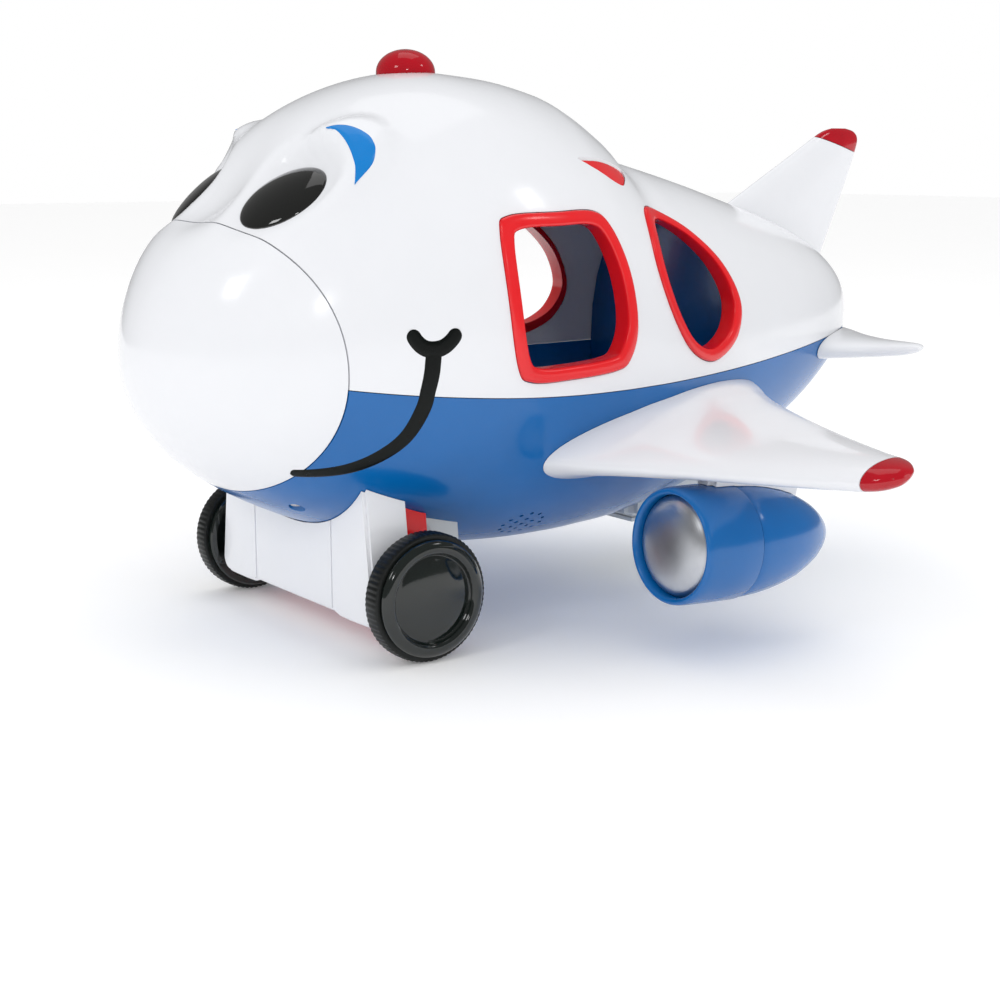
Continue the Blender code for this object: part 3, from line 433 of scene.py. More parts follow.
def cap_cutter(grow):
    """The cylinder across the nose whose wall is the joint of the nose cap."""
    cutter = lathe([(0, -0.12), (CAP_R + grow, -0.12), (CAP_R + grow, 0.12), (0, 0.12)], 192, "X")
    return add("cap_cutter", move(cutter, (0, CAP_Y, CAP_Z)))


# Outlines in mm: of the windows as (behind the axle, height), of the shoulder's hole as (out, behind the axle)
SQUARE_WINDOW = ((33, 104), (30, 128), (29.5, 151), (34, 157), (55, 158), (74, 158), (82, 152),
                 (88, 135), (89.5, 115), (85, 103), (78, 99.5), (58, 98), (39, 98))
DROP_WINDOW = ((106, 153), (110, 158.5), (119, 157), (135, 149), (150, 136), (158, 120), (154, 107),
               (143, 99.5), (132, 98.5), (120, 105), (110, 120), (105, 137))
# Section of the windows' red band: inwards from the opening's edge, and out from the hull, in mm
BAND = ((0.3, -3.0), (0.3, 0.5), (0.6, 1.0), (1.2, 1.25), (2.6, 1.3), (4.0, 1.25), (4.7, 1.0), (5.1, 0.4),
        (5.2, -0.6), (5.2, -7.0), (3.6, -7.0), (3.2, -3.2))
SHOULDER_HOLE = ((54.7, 76.5), (55.3, 81), (55.5, 87), (55.2, 93), (53.8, 99), (51.5, 102), (47.3, 105.5),
                 (44.3, 105.5), (46.8, 97.5), (51.5, 86))


def window_outline(points, grow=0.0, steps=8):
    return round_outline([(AXLE_Y + y * MM, z * MM) for y, z in points], steps, grow)


def make_window_frame(name, points, side):
    build = bmesh.new()
    loops = []
    for inset, rise in BAND:
        loops.append([
            build.verts.new((side * (hull_side(y, z) + rise * MM), y, z))
            for y, z in window_outline(points, -inset * MM)
        ])
    bridge(build, loops + loops[:1])
    piece(add(name + "_look", build, 50), [name])


def shoulder_tool(name, side, grow=0.0):
    """An upright block on the shoulder hole's outline, moved out by grow."""
    curve = round_outline([(x * MM, AXLE_Y + y * MM) for x, y in SHOULDER_HOLE], 6)
    outline = []
    for i, point in enumerate(curve):
        along = (curve[(i + 1) % len(curve)] - curve[i - 1]).normalized()
        outline.append((side * (point.x + along.y * grow), point.y - along.x * grow))
    return add(name, prism(outline, 0.14, 0.25, "Z"))


def shell_between(outer, inner, name="shell"):
    """A wall that follows the hull from one offset to a deeper one."""
    shell = add(name, hull_body(outer))
    return combine(shell, add("inside", hull_body(inner)))


def make_shells():
    hull = shell_between(0, -WALL, "hull")
    upper, lower = copy_of(hull, "upper_shell_look"), copy_of(hull, "lower_shell_look")
    cap = copy_of(hull, "nose_cap_look")
    bpy.data.objects.remove(hull)
    combine(cap, cap_cutter(-CAP_GAP), "INTERSECT")
    for shell, above in ((upper, True), (lower, False)):
        combine(shell, cap_cutter(CAP_GAP))
        combine(shell, seam_block(above, SEAM_GAP if above else -SEAM_GAP), "INTERSECT")
    for points in (SQUARE_WINDOW, DROP_WINDOW):
        combine(upper, add("opening", prism(window_outline(points), -0.12, 0.12)))
    thick = shell_between(-0.0006, -WALL - 0.0016)
    for side, letter in ((1, "L"), (-1, "R")):
        combine(upper, shoulder_tool("shoulder_hole", side))
        panel = copy_of(thick, f"shoulder_panel_{letter}_look")
        combine(panel, shoulder_tool("outline", side, -PART_GAP), "INTERSECT")
        piece(panel, [f"shoulder_panel_{letter}"])
        make_window_frame(f"square_window_frame_{letter}", SQUARE_WINDOW, side)
        make_window_frame(f"drop_window_frame_{letter}", DROP_WINDOW, side)
    bpy.data.objects.remove(thick)
    cut_round(upper, (0, LAMP_Y, 0.21), LAMP_R + PART_GAP)
    cut_lower_shell(lower)
    for made, node in ((cap, "nose_cap"), (upper, "upper_shell"), (lower, "lower_shell")):
        piece(made, [node])


def cut_round(target, place, radius, low=-0.02, high=0.02, steps=48):
    tool = lathe([(0, low), (radius, low), (radius, high), (0, high)], steps)
    combine(target, add("round", move(tool, place)))


def cut_lower_shell(lower):
    for low, high in (
        ((-0.044, AXLE_Y - 0.0135, 0.0), (0.044, AXLE_Y + 0.0225, 0.07)),
        ((-BAY_X, BAY_FRONT, 0.0), (BAY_X, BAY_BACK, 0.08)),
        ((-0.006, CASTER_Y - 0.006, 0.0), (0.006, CASTER_Y + 0.006, 0.08)),
        ((-0.0028, SWITCH_Y - 0.0045, 0.0), (0.0028, SWITCH_Y + 0.0045, 0.05)),
    ):
        combine(lower, add("bay", prism([(low[1], low[2]), (high[1], low[2]), (high[1], high[2]),
                                         (low[1], high[2])], low[0], high[0])))
    for x, behind in ((0.028, -0.030), (0.030, 0.112)):
        for side in (1, -1):
            y = AXLE_Y + behind
            cut_round(lower, (side * x, y, hull_floor_at(x, y)), 0.0030)
    x, y = 0.048, AXLE_Y + 0.056
    tilt = Matrix.Translation((x, y, hull_floor_at(x, y))) @ Matrix.Rotation(math.radians(-50), 4, "Y")
    grille = bmesh.new()
    for ring, count in ((0, 1), (0.0042, 6), (0.0084, 12)):
        for i in range(count):
            angle = 2 * math.pi * i / count
            hole = lathe([(0, -0.012), (0.0008, -0.012), (0.0008, 0.012), (0, 0.012)], 16)
            hole.transform(tilt @ Matrix.Translation((ring * math.cos(angle), ring * math.sin(angle), 0)))
            spare = bpy.data.meshes.new("spare")
            hole.to_mesh(spare)
            hole.free()
            grille.from_mesh(spare)
            bpy.data.meshes.remove(spare)
    combine(lower, add("grille", grille))


# ---------------------------------------------------------------- face

def curve_through(points, steps):
    """An open smooth curve through points of any number of values."""
    curve = []
    last = len(points) - 1
    for i in range(last):
        before, start = points[max(i - 1, 0)], points[i]
        end, after = points[i + 1], points[min(i + 2, last)]
        for j in range(steps + (i == last - 1)):
            t = j / steps
            curve.append(tuple(
                0.5 * (2 * b + (c - a) * t + (2 * a - 5 * b + 4 * c - d) * t * t
                       + (3 * b - a - 3 * c + d) * t ** 3)
                for a, b, c, d in zip(before, start, end, after)
            ))
    return curve


def ribbon(rows, side, lift, sink):
    """A thin closed body that follows the hull between two edges, whose points are (distance, angle)."""
    build = bmesh.new()
    across = 8
    sheets = []
    for rise in (lift, -sink):
        sheet = []
        for left, right in rows:
            line = []
            for k in range(across + 1):
                t = k / across
                distance = (left[0] + (right[0] - left[0]) * t) * MM
                angle = math.radians(left[1] + (right[1] - left[1]) * t)
                out = skin_normal(distance, angle)
                edge = 1 - abs(2 * t - 1) ** 6 if rise > 0 else 1
                point = skin(distance, angle) + out * (rise * edge)
                line.append(build.verts.new((side * point.x, point.y, point.z)))
            sheet.append(line)
        sheets.append(sheet)
    top, base = sheets
    for sheet in sheets:
        for near, far in zip(sheet, sheet[1:]):
            for k in range(across):
                build.faces.new((near[k], near[k + 1], far[k + 1], far[k]))
    for i in range(len(rows) - 1):
        for k in (0, across):
            build.faces.new((top[i][k], top[i + 1][k], base[i + 1][k], base[i][k]))
    for i in (0, len(rows) - 1):
        for k in range(across):
            build.faces.new((top[i][k], top[i][k + 1], base[i][k + 1], base[i][k]))
    return build


# Distance behind the nose tip in mm, and angle up from the waist
BROW_OUTER = ((62.3, 64.0), (66.0, 62.4), (69.6, 58.8), (72.4, 54.0), (72.9, 50.9), (72.4, 48.4),
              (69.6, 45.2), (62.3, 42.3))
BROW_INNER = ((62.3, 64.0), (64.0, 61.6), (64.7, 58.8), (64.9, 55.4), (64.8, 52.6), (64.5, 49.6),
              (63.9, 46.0), (62.3, 42.3))
# Middle lines of the smile and of the fork at its end, the same way, and the line's half width in mm
SMILE = ((81.3, 2.9, 3.0), (80.3, -1.0, 3.0), (79.0, -5.0, 2.9), (77.5, -9.8, 2.9),
         (72.4, -18.6, 2.7), (65.1, -25.8, 2.5), (56.2, -32.5, 2.3), (45.8, -38.4, 2.0), (39.0, -42.0, 1.8))
FORK = ((72.9, 6.6, 2.6), (74.9, 4.5, 2.7), (77.7, 3.2, 2.8), (81.3, 2.8, 2.9), (85.0, 3.2, 2.8),
        (88.2, 4.4, 2.7), (90.4, 6.0, 2.6))


def stroke_rows(line, steps=14):
    """Both edges of a stroke on the hull, with round ends."""
    centre = curve_through(line, steps)
    spots = [skin(d * MM, math.radians(a)) for d, a, _ in centre]
    run = [0.0]
    for here, there in zip(spots, spots[1:]):
        run.append(run[-1] + (there - here).length)
    rows = []
    for i, (distance, angle, half) in enumerate(centre):
        before, after = spots[max(i - 1, 0)], spots[min(i + 1, len(spots) - 1)]
        out = skin_normal(distance * MM, math.radians(angle))
        sideways = out.cross((after - before).normalized())
        room = min(run[i], run[-1] - run[i]) / (half * MM)
        half *= math.sqrt(max(0.0, 1 - (1 - room) ** 2)) if room < 1 else 1
        half = max(half, 0.12)
        here = spots[i]
        by_distance = (skin((distance + 0.5) * MM, math.radians(angle)) - here) / 0.5
        by_angle = skin(distance * MM, math.radians(angle + 0.5)) - here
        by_angle /= 0.5
        a11, a12, a22 = by_distance.dot(by_distance), by_distance.dot(by_angle), by_angle.dot(by_angle)
        b1, b2 = by_distance.dot(sideways) * half * MM, by_angle.dot(sideways) * half * MM
        det = a11 * a22 - a12 * a12
        step = ((a22 * b1 - a12 * b2) / det, (a11 * b2 - a12 * b1) / det)
        rows.append(((distance + step[0], angle + step[1]), (distance - step[0], angle - step[1])))
    return rows


def make_face():
    for side, letter in ((1, "L"), (-1, "R")):
        rows = list(zip(curve_through(BROW_OUTER, 8), curve_through(BROW_INNER, 8)))
        piece(add(f"brow_{letter}", ribbon(rows, side, 0.00022, 0.0004), 60), [], "blue_plastic", "airframe",
              LOOKS["brow"])
        smile = add(f"smile_{letter}", ribbon(stroke_rows(SMILE), side, 0.00030, 0.0006), 60)
        combine(smile, add("fork", ribbon(stroke_rows(FORK), side, 0.00033, 0.0005), 60), "UNION")
        piece(smile, [], "black_plastic", "airframe", LOOKS["smile"])
        make_eye(side, letter)


def make_eye(side, letter):
    """A glossy lens that swells from its round seat."""
    build = bmesh.new()
    steps, rings = 72, []
    section = [(0.0, 3.1), (0.25, 3.0), (0.5, 2.6), (0.7, 2.05), (0.85, 1.4), (0.94, 0.8), (0.985, 0.35),
               (1.0, 0.0), (1.0, -1.6), (0.0, -1.6)]
    for share, rise in section:
        ring = []
        for i in range(steps if share else 1):
            angle = 2 * math.pi * i / steps
            point = EYE_MIDDLE + EYE_OUT * (rise * MM)
            point = point + EYE_LONG * (EYE_HALF_LONG * share * math.cos(angle))
            point = point + EYE_SHORT * (EYE_HALF_WIDE * share * math.sin(angle))
            ring.append(build.verts.new((side * point.x, point.y, point.z)))
        rings.append(ring)
    bridge(build, rings)
    piece(add(f"eye_{letter}_look", build, 50), [f"eye_{letter}"], look=LOOKS["eye"])


def make_lamp():
    """The clear dome on the head and the dark sensor under it."""
    low, spring, wall = 0.202, 0.2085, 0.0018
    outer = [(LAMP_R, low), (LAMP_R, spring - 0.0002)]
    for i in range(1, 21):
        angle = math.radians(4.5 * i)
        radius = LAMP_R * math.cos(angle) if i < 20 else 0
        outer.append((radius, spring + (LAMP_TOP - spring) * math.sin(angle)))
    inner = [(max(0, r - wall), h - wall) for r, h in outer[1:]]
    profile = outer[::-1] + [(LAMP_R - wall, low)] + inner
    piece(add("receiver_dome_look", move(lathe(profile, 96), (0, LAMP_Y, 0)), 50), ["receiver_dome"])
    core = [(0, 0.2140), (0.0028, 0.2130), (0.0036, 0.2105), (0.0036, 0.204), (0, 0.204)]
    piece(add("receiver_sensor", move(lathe(core, 48), (0, LAMP_Y, 0)), 50), [], "black_plastic", "airframe",
          LOOKS["black_plastic"])


# ---------------------------------------------------------------- wings and tail

def loft(rings):
    """A closed body over rings of points, with a fan on each end."""
    build = bmesh.new()
    loops = [[build.verts.new(point) for point in ring] for ring in rings]
    count = len(loops[0])
    bridge(build, loops)
    for loop in (loops[0], loops[-1]):
        middle = build.verts.new(sum((v.co for v in loop), Vector()) / count)
        for i in range(count):
            build.faces.new((middle, loop[i], loop[(i + 1) % count]))
    return build


def aerofoil(front, back, thick, place, grow=0.0, steps=72):
    """A ring of points round the section between two edges; place turns each flat point into a Vector."""
    ring = []
    front, back = Vector(front), Vector(back)
    chord = back - front
    normal = Vector((-chord[1], chord[0])).normalized()
    for i in range(steps):
        angle = 2 * math.pi * i / steps
        share = (1 - math.cos(angle)) / 2
        point = front + chord * share + normal * (thick / 2 * math.sin(angle) * (1 - 0.35 * share))
        point -= chord.normalized() * grow * math.cos(angle)
        point += normal * grow * math.sin(angle)
        ring.append(place(point[0], point[1]))
    return ring


# Distance out, leading edge (behind the axle, height), trailing edge (same), thickness, in mm
WING = (
    (50, 40, 66, 172, 85.5, 36),
    (66, 47, 66.5, 163, 84.5, 31),
    (78, 52, 67, 155, 83.5, 24),
    (93, 59, 67.5, 147, 82.5, 19),
    (120, 70, 68.5, 134, 81.5, 15.5),
    (150, 78, 70, 121, 80.5, 13),
    (180, 85, 72, 110, 79.5, 11),
    (192, 88, 73, 107, 79, 9.5),
    (198, 92, 74.5, 103, 77.8, 6.5),
    (200, 95.5, 75.6, 99.5, 76.8, 2.5),
)
STABILIZER = (
    (6, 204, 93, 270, 99, 16),
    (20, 212, 93, 265.5, 98.5, 14),
    (34, 222, 93, 261, 97.5, 11),
    (50, 234, 93.8, 257, 97, 8.5),
    (65, 241.5, 95, 254, 97.3, 6.5),
    (72, 245, 96, 252.5, 97.5, 4.5),
    (75, 247, 96.6, 250, 97.2, 1.8),
)
TIP_SPLIT = 0.1895  # where the red tip starts, from the middle
FIN = (  # height, leading and trailing edge behind the axle, thickness, in mm
    (125, 146, 259, 13),
    (140, 173, 266, 12),
    (152, 195, 271.5, 10),
    (166, 220.5, 278, 8.5),
    (178, 242.5, 283, 7),
    (185, 255, 285, 6),
    (188.5, 262, 282.5, 4.5),
    (190, 268, 277, 2),
)
FIN_SPLIT = ((240, 190.5), (300, 174.5))  # two points of the line under the red cap: behind the axle, height


def surface_loft(rows, side, grow=0.0):
    rings = []
    for out, front_y, front_z, back_y, back_z, thick in curve_through(rows, 6):
        def place(along, height, x=side * (out * MM + (grow if out > rows[-1][0] - 0.01 else 0))):
            return Vector((x, AXLE_Y + along, height))
        front, back = (front_y * MM, front_z * MM), (back_y * MM, back_z * MM)
        rings.append(aerofoil(front, back, thick * MM, place, grow))
    return loft(rings)


def slab(low_x, high_x):
    return add("split", prism([(-0.2, 0), (0.2, 0), (0.2, 0.2), (-0.2, 0.2)], *sorted((low_x, high_x))))


def make_wings(root):
    for side, letter in ((1, "L"), (-1, "R")):
        wing = add(f"wing_{letter}_look", surface_loft(WING, side))
        tip = copy_of(wing, f"wing_tip_{letter}_look")
        combine(wing, root, keep=True)
        combine(wing, slab(side * 0.03, side * (TIP_SPLIT - PART_GAP)), "INTERSECT")
        combine(tip, slab(side * TIP_SPLIT, side * 0.3), "INTERSECT")
        stabilizer = add(f"stabilizer_{letter}_look", surface_loft(STABILIZER, side))
        combine(stabilizer, root, keep=True)
        for made, node in ((wing, "wing_"), (tip, "wing_tip_"), (stabilizer, "stabilizer_")):
            piece(made, [node + letter])


def make_fin(root):
    rings = []
    for height, front, back, thick in curve_through(FIN, 7):
        def place(along, across, z=height * MM):
            return Vector((across, AXLE_Y + along, z))
        rings.append(aerofoil((front * MM, 0), (back * MM, 0), thick * MM, place))
    fin = add("tail_fin_look", loft(rings))
    cap = copy_of(fin, "fin_cap_look")
    combine(fin, root, keep=True)
    line = [(AXLE_Y + y * MM, z * MM) for y, z in FIN_SPLIT]
    below = [(line[0][0] - 0.2, line[0][1]), *line, (line[1][0], 0), (line[0][0] - 0.2, 0)]
    above = [(y, z + PART_GAP) for y, z in line] + [(line[1][0], 0.3), (line[0][0], 0.3)]
    combine(fin, add("split", prism(below, -0.05, 0.05)), "INTERSECT")
    combine(cap, add("split", prism(above, -0.05, 0.05)), "INTERSECT")
    piece(fin, ["tail_fin"])
    piece(cap, ["fin_cap"])


# ---------------------------------------------------------------- engines

# Sections of the cowl and the cone: radius and distance behind the engine's front, in mm
COWL = ((18.4, 5.6), (18.5, 1.6), (18.8, 0.7), (19.3, 0.15), (19.9, 0.0), (20.5, 0.25), (20.9, 0.9),
        (21.15, 2.2), (21.3, 5), (21.45, 14), (21.45, 25.2), (21.25, 25.8), (20.6, 26.0), (18.4, 26.0))
CONE = ((0, 76.5), (2.4, 76.2), (4.6, 74.5), (7.2, 72.0), (9.6, 69.0), (12.3, 64.8), (14.6, 60.0),
        (16.9, 54.3), (18.6, 48.0), (19.8, 42.0), (20.6, 36.0), (21.0, 30.0), (21.0, 27.2), (20.8, 26.4),
        (19.0, 26.3), (18.6, 36.0), (16.4, 48.0), (12.4, 59.0), (7.4, 67.0), (0, 72.0))


def make_engine(side, letter):
    place = (side * NACELLE_X, NACELLE_Y, NACELLE_Z)

    def turned(name, build, node, **more):
        piece(add(name, move(build, place, NACELLE_TILT), 40), [node], **more)
    turned(f"engine_cowl_{letter}_look", tube([(r * MM, d * MM) for r, d in COWL], 128, "Y"),
           f"engine_cowl_{letter}")
    turned(f"engine_cone_{letter}_look", lathe([(r * MM, d * MM) for r, d in CONE], 128, "Y"),
           f"engine_cone_{letter}")
    disc = [(0, -1.4), (3, -1.36), (6, -1.2), (9, -0.85), (12, -0.2), (14.5, 0.75), (16.4, 1.8), (17.6, 2.9),
            (18.25, 3.9), (18.25, 5.6), (13, 3.4), (0, 1.2)]
    turned(f"engine_disc_{letter}_look", lathe([(r * MM, d * MM) for r, d in disc], 128, "Y"),
           f"engine_disc_{letter}", look=LOOKS[f"silver_{letter}"])


def make_pylon(side, letter):
    outline = [(0.084, 0.055), (0.0852, 0.062), (0.0868, 0.069), (0.090, 0.090), (0.150, 0.090),
               (0.133, 0.066), (0.128, 0.048)]
    reach = sorted((side * (NACELLE_X - 0.0048), side * (NACELLE_X + 0.0048)))
    build = prism([(AXLE_Y + y, z) for y, z in outline], *reach)
    long_edges = [e for e in build.edges if abs(e.verts[0].co.x - e.verts[1].co.x) < 1e-6]
    bmesh.ops.bevel(build, geom=long_edges, offset=0.0022, segments=5, affect="EDGES")
    pylon = add(f"engine_pylon_{letter}_look", build)
    combine(pylon, add("wing", surface_loft(WING, side, 0.0002)))
    body = [(0, -0.002)] + [((r + 0.2) * MM, d * MM) for r, d in COWL[4:12] + CONE[11:0:-1]] + [(0, 0.078)]
    nacelle = move(lathe(body, 96, "Y"), (side * NACELLE_X, NACELLE_Y, NACELLE_Z), NACELLE_TILT)
    combine(pylon, add("nacelle", nacelle))
    low, high = sorted((side * 0.09, side * 0.15))
    front, back = AXLE_Y + 0.05, AXLE_Y + 0.2
    under = prism([(front, 0.045), (back, 0.045), (back, 0.078), (front, 0.078)], low, high)
    combine(pylon, add("under", under), "INTERSECT")
    piece(pylon, [f"engine_pylon_{letter}"])


# ---------------------------------------------------------------- wheels and housing

WHEEL = (  # radius, distance from the inner face, in mm
    (0, 12.75), (3, 12.7), (6, 12.5), (9, 12.15), (12, 11.65), (14.2, 11.1), (15.2, 10.75), (15.7, 10.7),
    (16.0, 10.95), (16.3, 11.7), (16.6, 12.4), (17.0, 12.8), (17.6, 13.0), (18.6, 13.0), (19.6, 12.8),
    (20.5, 12.3), (21.1, 11.7), (21.4, 11.0), (21.3, 10.5), (20.6, 10.4), (20.6, 2.4), (21.4, 2.2),
    (21.4, 0.6), (20.8, 0),
    (18.8, 0), (18.4, 4), (5.2, 4), (5, 0), (2.15, 0), (2.15, 9), (0, 9),
)
TREAD_STEPS, TREAD_DIP = 288, 0.28  # steps round the tyre, and depth of its grooves in mm


def make_wheels():
    inner_x = WHEEL_FACE_X - WHEEL_WIDTH
    for side, letter in ((1, "L"), (-1, "R")):
        hub = lathe([(r * MM, side * (inner_x + h * MM)) for r, h in WHEEL], 144, "X")
        piece(add(f"wheel_{letter}_look", move(hub, (0, AXLE_Y, WHEEL_R)), 40), [f"wheel_{letter}"])
        build = bmesh.new()
        rings = []
        for i in range(TREAD_STEPS):
            dip = TREAD_DIP if i % 4 >= 2 else 0.0
            section = ((20.9, 2.7), (22.6, 2.7), (23.2 - dip * 0.6, 3.1), (23.5 - dip, 3.8),
                       (23.5 - dip, 9.0), (23.2 - dip * 0.6, 9.7), (22.6, 10.1), (20.9, 10.1))
            angle = 2 * math.pi * i / TREAD_STEPS
            across, up = math.cos(angle), math.sin(angle)
            rings.append([
                build.verts.new((side * (inner_x + h * MM), r * MM * across, r * MM * up)) for r, h in section
            ])
        bridge(build, rings + rings[:1])
        piece(add(f"tyre_{letter}_look", move(build, (0, AXLE_Y, WHEEL_R)), 25), [f"tyre_{letter}"])


def housing_outline(inset=0.0, top=0.075):
    """Front view of the housing: a raised middle and two cheeks with round lower corners, as (x, z)."""
    slope = (HOUSING_X - HOUSING_TOP_X) / (top - HOUSING_FOOT)
    right = [(0.0288, 0.0126), (0.0300, 0.0124), (0.0312, 0.0119), (0.0330, 0.0115), (0.0400, 0.0113)]
    corner = (HOUSING_X - 0.0060, 0.0175)
    for i in range(7):
        angle = math.radians(-90 + 15 * i)
        right.append((corner[0] + 0.0060 * math.cos(angle), corner[1] + 0.0060 * math.sin(angle)))
    right.append((HOUSING_X - slope * (top - HOUSING_FOOT), top))
    points = [(x - inset * (x > 0.032), z + inset * (z < 0.07)) for x, z in right]
    return [(-x, z) for x, z in reversed(points)] + points


def make_housing(root):
    front, back, wall = AXLE_Y - HOUSING_FRONT, AXLE_Y - 0.00015, 0.0018
    build = prism(housing_outline(), front, back, "Y")
    face = [f for f in build.faces if all(abs(v.co.y - front) < 1e-6 for v in f.verts)]
    bmesh.ops.bevel(build, geom=[e for f in face for e in f.edges], offset=0.0013, segments=4, affect="EDGES")
    housing = add("gear_housing_look", build)
    combine(housing, add("hollow", prism(housing_outline(wall, 0.0765), front + wall, back + 0.01, "Y")))
    combine(housing, root, keep=True)
    for side in (1, -1):
        low, high = sorted((side * 0.0291, side * 0.0299))
        ahead, deep = front - 0.001, front + 0.0006
        groove = prism([(ahead, 0.0), (deep, 0.0), (deep, 0.1), (ahead, 0.1)], low, high)
        combine(housing, add("groove", groove))
    bore = lathe([(0, -0.1), (0.0024, -0.1), (0.0024, 0.1), (0, 0.1)], 48, "X")
    combine(housing, add("bore", move(bore, (0, AXLE_Y, WHEEL_R))))
    piece(housing, ["gear_housing"])


# ---------------------------------------------------------------- materials

def linear(red, green, blue):
    return tuple(v / 12.92 if v < 0.04045 else ((v + 0.055) / 1.055) ** 2.4 for v in (red, green, blue))


def new_look(name):
    made = bpy.data.materials.new(name)
    made.use_nodes = True
    return made, made.node_tree.nodes, made.node_tree.links, made.node_tree.nodes["Principled BSDF"]


def node(nodes, kind, **settings):
    made = nodes.new(kind)
    for name, value in settings.items():
        if name in made.inputs:
            made.inputs[name].default_value = value
        else:
            setattr(made, name, value)
    return made


def plastic(name, colour, roughness=0.18, spread=0.05, mottle=0.05, scale=38.0, grain=0.0006, coat=0.0,
            metallic=0.0, shine=0.5, grain_scale=900.0):
    """Moulded plastic: faint clouding of the colour, uneven gloss and a fine grain."""
    look, nodes, links, shader = new_look(name)
    where = node(nodes, "ShaderNodeTexCoord")
    cloud = node(nodes, "ShaderNodeTexNoise", Scale=scale, Detail=4.0, Roughness=0.55)
    links.new(where.outputs["Object"], cloud.inputs["Vector"])
    ramp = node(nodes, "ShaderNodeValToRGB")
    base = linear(*colour)
    ramp.color_ramp.elements[0].position, ramp.color_ramp.elements[1].position = 0.32, 0.70
    ramp.color_ramp.elements[0].color = (*(v * (1 - mottle) for v in base), 1)
    ramp.color_ramp.elements[1].color = (*(min(1, v * (1 + mottle * 0.6)) for v in base), 1)
    links.new(cloud.outputs["Fac"], ramp.inputs["Fac"])
    links.new(ramp.outputs["Color"], shader.inputs["Base Color"])
    smear = node(nodes, "ShaderNodeTexNoise", Scale=scale * 2.3, Detail=6.0, Roughness=0.65)
    links.new(where.outputs["Object"], smear.inputs["Vector"])
    gloss = node(nodes, "ShaderNodeMapRange")
    gloss.inputs["From Min"].default_value, gloss.inputs["From Max"].default_value = 0.3, 0.7
    gloss.inputs["To Min"].default_value = max(0.02, roughness - spread)
    gloss.inputs["To Max"].default_value = roughness + spread
    links.new(smear.outputs["Fac"], gloss.inputs["Value"])
    links.new(gloss.outputs["Result"], shader.inputs["Roughness"])
    fine = node(nodes, "ShaderNodeTexNoise", Scale=grain_scale, Detail=2.0)
    links.new(where.outputs["Object"], fine.inputs["Vector"])
    bump = node(nodes, "ShaderNodeBump", Strength=0.25, Distance=grain)
    links.new(fine.outputs["Fac"], bump.inputs["Height"])
    links.new(bump.outputs["Normal"], shader.inputs["Normal"])
    shader.inputs["Metallic"].default_value = metallic
    shader.inputs["Specular IOR Level"].default_value = shine
    shader.inputs["Coat Weight"].default_value = coat
    shader.inputs["Coat Roughness"].default_value = 0.05
    return look


def brushed_disc(name, side):
    """Silver foil with fine rings round the engine's middle."""
    look = plastic(name, (0.80, 0.81, 0.83), 0.34, 0.06, 0.10, 60, 0.0002, metallic=1.0)
    nodes, links = look.node_tree.nodes, look.node_tree.links
    where = nodes["Texture Coordinate"]
    centre = node(nodes, "ShaderNodeMapping")
    centre.inputs["Location"].default_value = (-side * NACELLE_X, -NACELLE_Y, -NACELLE_Z)
    rings = node(nodes, "ShaderNodeTexWave", Scale=520.0, Distortion=1.2, Detail=3.0)
    rings.wave_type, rings.rings_direction = "RINGS", "Y"
    links.new(where.outputs["Object"], centre.inputs["Vector"])
    links.new(centre.outputs["Vector"], rings.inputs["Vector"])
    bump = nodes["Bump"]
    bump.inputs["Distance"].default_value = 0.00006
    links.new(rings.outputs["Fac"], bump.inputs["Height"])
    return look


LOOKS = {  # colour, roughness and its spread, clouding and its scale, height of the grain
    "white_plastic": plastic("white_plastic", (0.912, 0.917, 0.932), 0.17, 0.03,
                             0.012, 26, 0.00005, 0.2, shine=0.45),
    "blue_plastic": plastic("blue_plastic", (0.0, 0.385, 0.665), 0.20, 0.04,
                            0.06, 30, 0.00006, 0.2, shine=0.5),
    "red_plastic": plastic("red_plastic", (0.90, 0.09, 0.12), 0.20, 0.04, 0.05, 40, 0.00006, 0.2, shine=0.5),
    "dark_red_plastic": plastic("dark_red_plastic", (0.70, 0.03, 0.11), 0.08, 0.03,
                                0.12, 60, 0.00005, 0.3, shine=0.4),
    "black_plastic": plastic("black_plastic", (0.055, 0.085, 0.075), 0.10, 0.03,
                             0.25, 40, 0.00005, 0.5, shine=0.5),
    "tread_rubber": plastic("tread_rubber", (0.06, 0.075, 0.07), 0.42, 0.08, 0.25, 70, 0.0004, shine=0.35),
    "grey_plastic": plastic("grey_plastic", (0.80, 0.82, 0.83), 0.36, 0.06, 0.04, 50, 0.0003),
    "silver_L": brushed_disc("silver_disc_L", 1),
    "silver_R": brushed_disc("silver_disc_R", -1),
    "steel": plastic("steel", (0.72, 0.72, 0.73), 0.28, 0.08, 0.10, 120, 0.0001, metallic=1.0),
    "gear_nylon": plastic("gear_nylon", (0.93, 0.92, 0.87), 0.40, 0.06, 0.04, 60, 0.0003),
    "board": plastic("board", (0.06, 0.33, 0.16), 0.45, 0.1, 0.25, 160, 0.0003),
    "cell": plastic("cell", (0.20, 0.20, 0.22), 0.30, 0.06, 0.15, 80, 0.0002, metallic=0.6),
    "eye": plastic("eye", (0.04, 0.045, 0.035), 0.05, 0.015, 0.3, 60, 0.00002, 1.0, shine=0.5),
    "brow": plastic("brow", (0.0, 0.49, 0.80), 0.22, 0.04, 0.05, 50, 0.00012, 0.3),
    "smile": plastic("smile", (0.03, 0.05, 0.045), 0.30, 0.04, 0.25, 60, 0.0001, shine=0.2),
}
LOOKS["silver_disc"] = LOOKS["silver_L"]


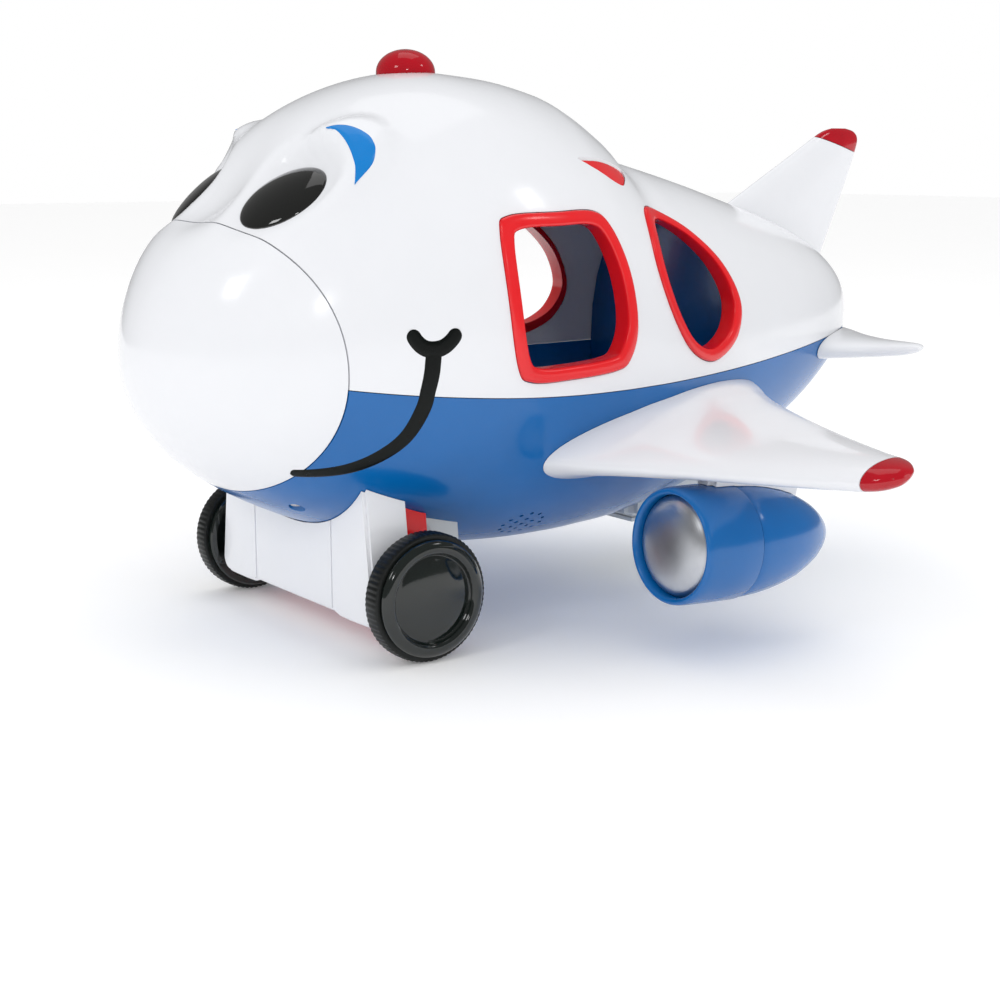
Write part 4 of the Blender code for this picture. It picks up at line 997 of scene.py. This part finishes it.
def finish_cad_nodes():
    """The nodes whose shape stays get a small round on their edges, and the finish of their slot."""
    for name, thing in frame["nodes"].items():
        thing.data.materials.clear()
        thing.data.materials.append(LOOKS[SLOT_OF[name]])
        weld = thing.modifiers.new("weld", "WELD")
        weld.merge_threshold = 0.00001
        edge = thing.modifiers.new("edge", "BEVEL")
        edge.width, edge.segments, edge.limit_method = 0.00025, 2, "ANGLE"
        edge.angle_limit = math.radians(40)


# ---------------------------------------------------------------- stage

CAMERA_PLACE = (0.5614, -0.4271, 0.1769)
CAMERA_DOWN, CAMERA_TURN = 11.32, 54.18  # degrees below level, and round from looking along +Y
LENS, SENSOR = 61.597, 36  # in mm


def make_stage():
    """The floor, the white surroundings, four lamps and the camera of the photograph."""
    ground = bmesh.new()
    bmesh.ops.create_grid(ground, x_segments=4, y_segments=4, size=6)
    floor = bpy.data.objects.new("floor", bpy.data.meshes.new("floor"))
    ground.to_mesh(floor.data)
    ground.free()
    bpy.context.scene.collection.objects.link(floor)
    ground_look = plastic("floor", (0.985, 0.985, 0.985), 0.7, 0.02, 0.002, 3, 0.0001)
    shader = ground_look.node_tree.nodes["Principled BSDF"]
    shader.inputs["Emission Color"].default_value = (1, 1, 1, 1)
    shader.inputs["Emission Strength"].default_value = 0.10
    floor.data.materials.append(ground_look)
    world = bpy.data.worlds.new("studio")
    world.use_nodes = True
    nodes, links = world.node_tree.nodes, world.node_tree.links
    sky = nodes["Background"]
    sky.inputs["Color"].default_value = (1, 1, 1, 1)
    path = node(nodes, "ShaderNodeLightPath")
    dim = node(nodes, "ShaderNodeMapRange")  # reflections see a darker sky, so that black parts stay black
    dim.inputs["To Min"].default_value, dim.inputs["To Max"].default_value = 1.0, 0.22
    links.new(path.outputs["Is Glossy Ray"], dim.inputs["Value"])
    links.new(dim.outputs["Result"], sky.inputs["Strength"])
    bpy.context.scene.world = world
    bpy.context.scene.view_settings.view_transform = "Standard"
    for name, place, size, power in (
        ("key", (0.42, -1.35, 0.95), 0.30, 1.7),
        ("side", (1.35, -0.75, 0.55), 0.12, 0.8),
        ("back", (1.0, 0.9, 1.1), 0.20, 0.8),
        ("top", (-0.3, 0.3, 1.9), 1.2, 3.0),
    ):
        light = bpy.data.objects.new(name, bpy.data.lights.new(name, "AREA"))
        light.data.size, light.data.energy = size, power
        light.location = place
        aim = Vector((0, -0.02, 0.1)) - Vector(place)
        light.rotation_euler = aim.to_track_quat("-Z", "Y").to_euler()
        bpy.context.scene.collection.objects.link(light)
    camera = bpy.data.objects.new("camera", bpy.data.cameras.new("camera"))
    camera.location = CAMERA_PLACE
    camera.rotation_euler = (math.radians(90 - CAMERA_DOWN), 0, math.radians(CAMERA_TURN))
    camera.data.lens, camera.data.sensor_width = LENS, SENSOR
    camera.data.clip_start = 0.01
    bpy.context.scene.collection.objects.link(camera)
    bpy.context.scene.camera = camera


finish_cad_nodes()
make_shells()
make_face()
make_lamp()
root = add("root", hull_body(0.00025, eyes=False))
make_wings(root)
make_fin(root)
for side, letter in ((1, "L"), (-1, "R")):
    make_engine(side, letter)
    make_pylon(side, letter)
make_wheels()
make_housing(root)
bpy.data.objects.remove(root)
make_stage()
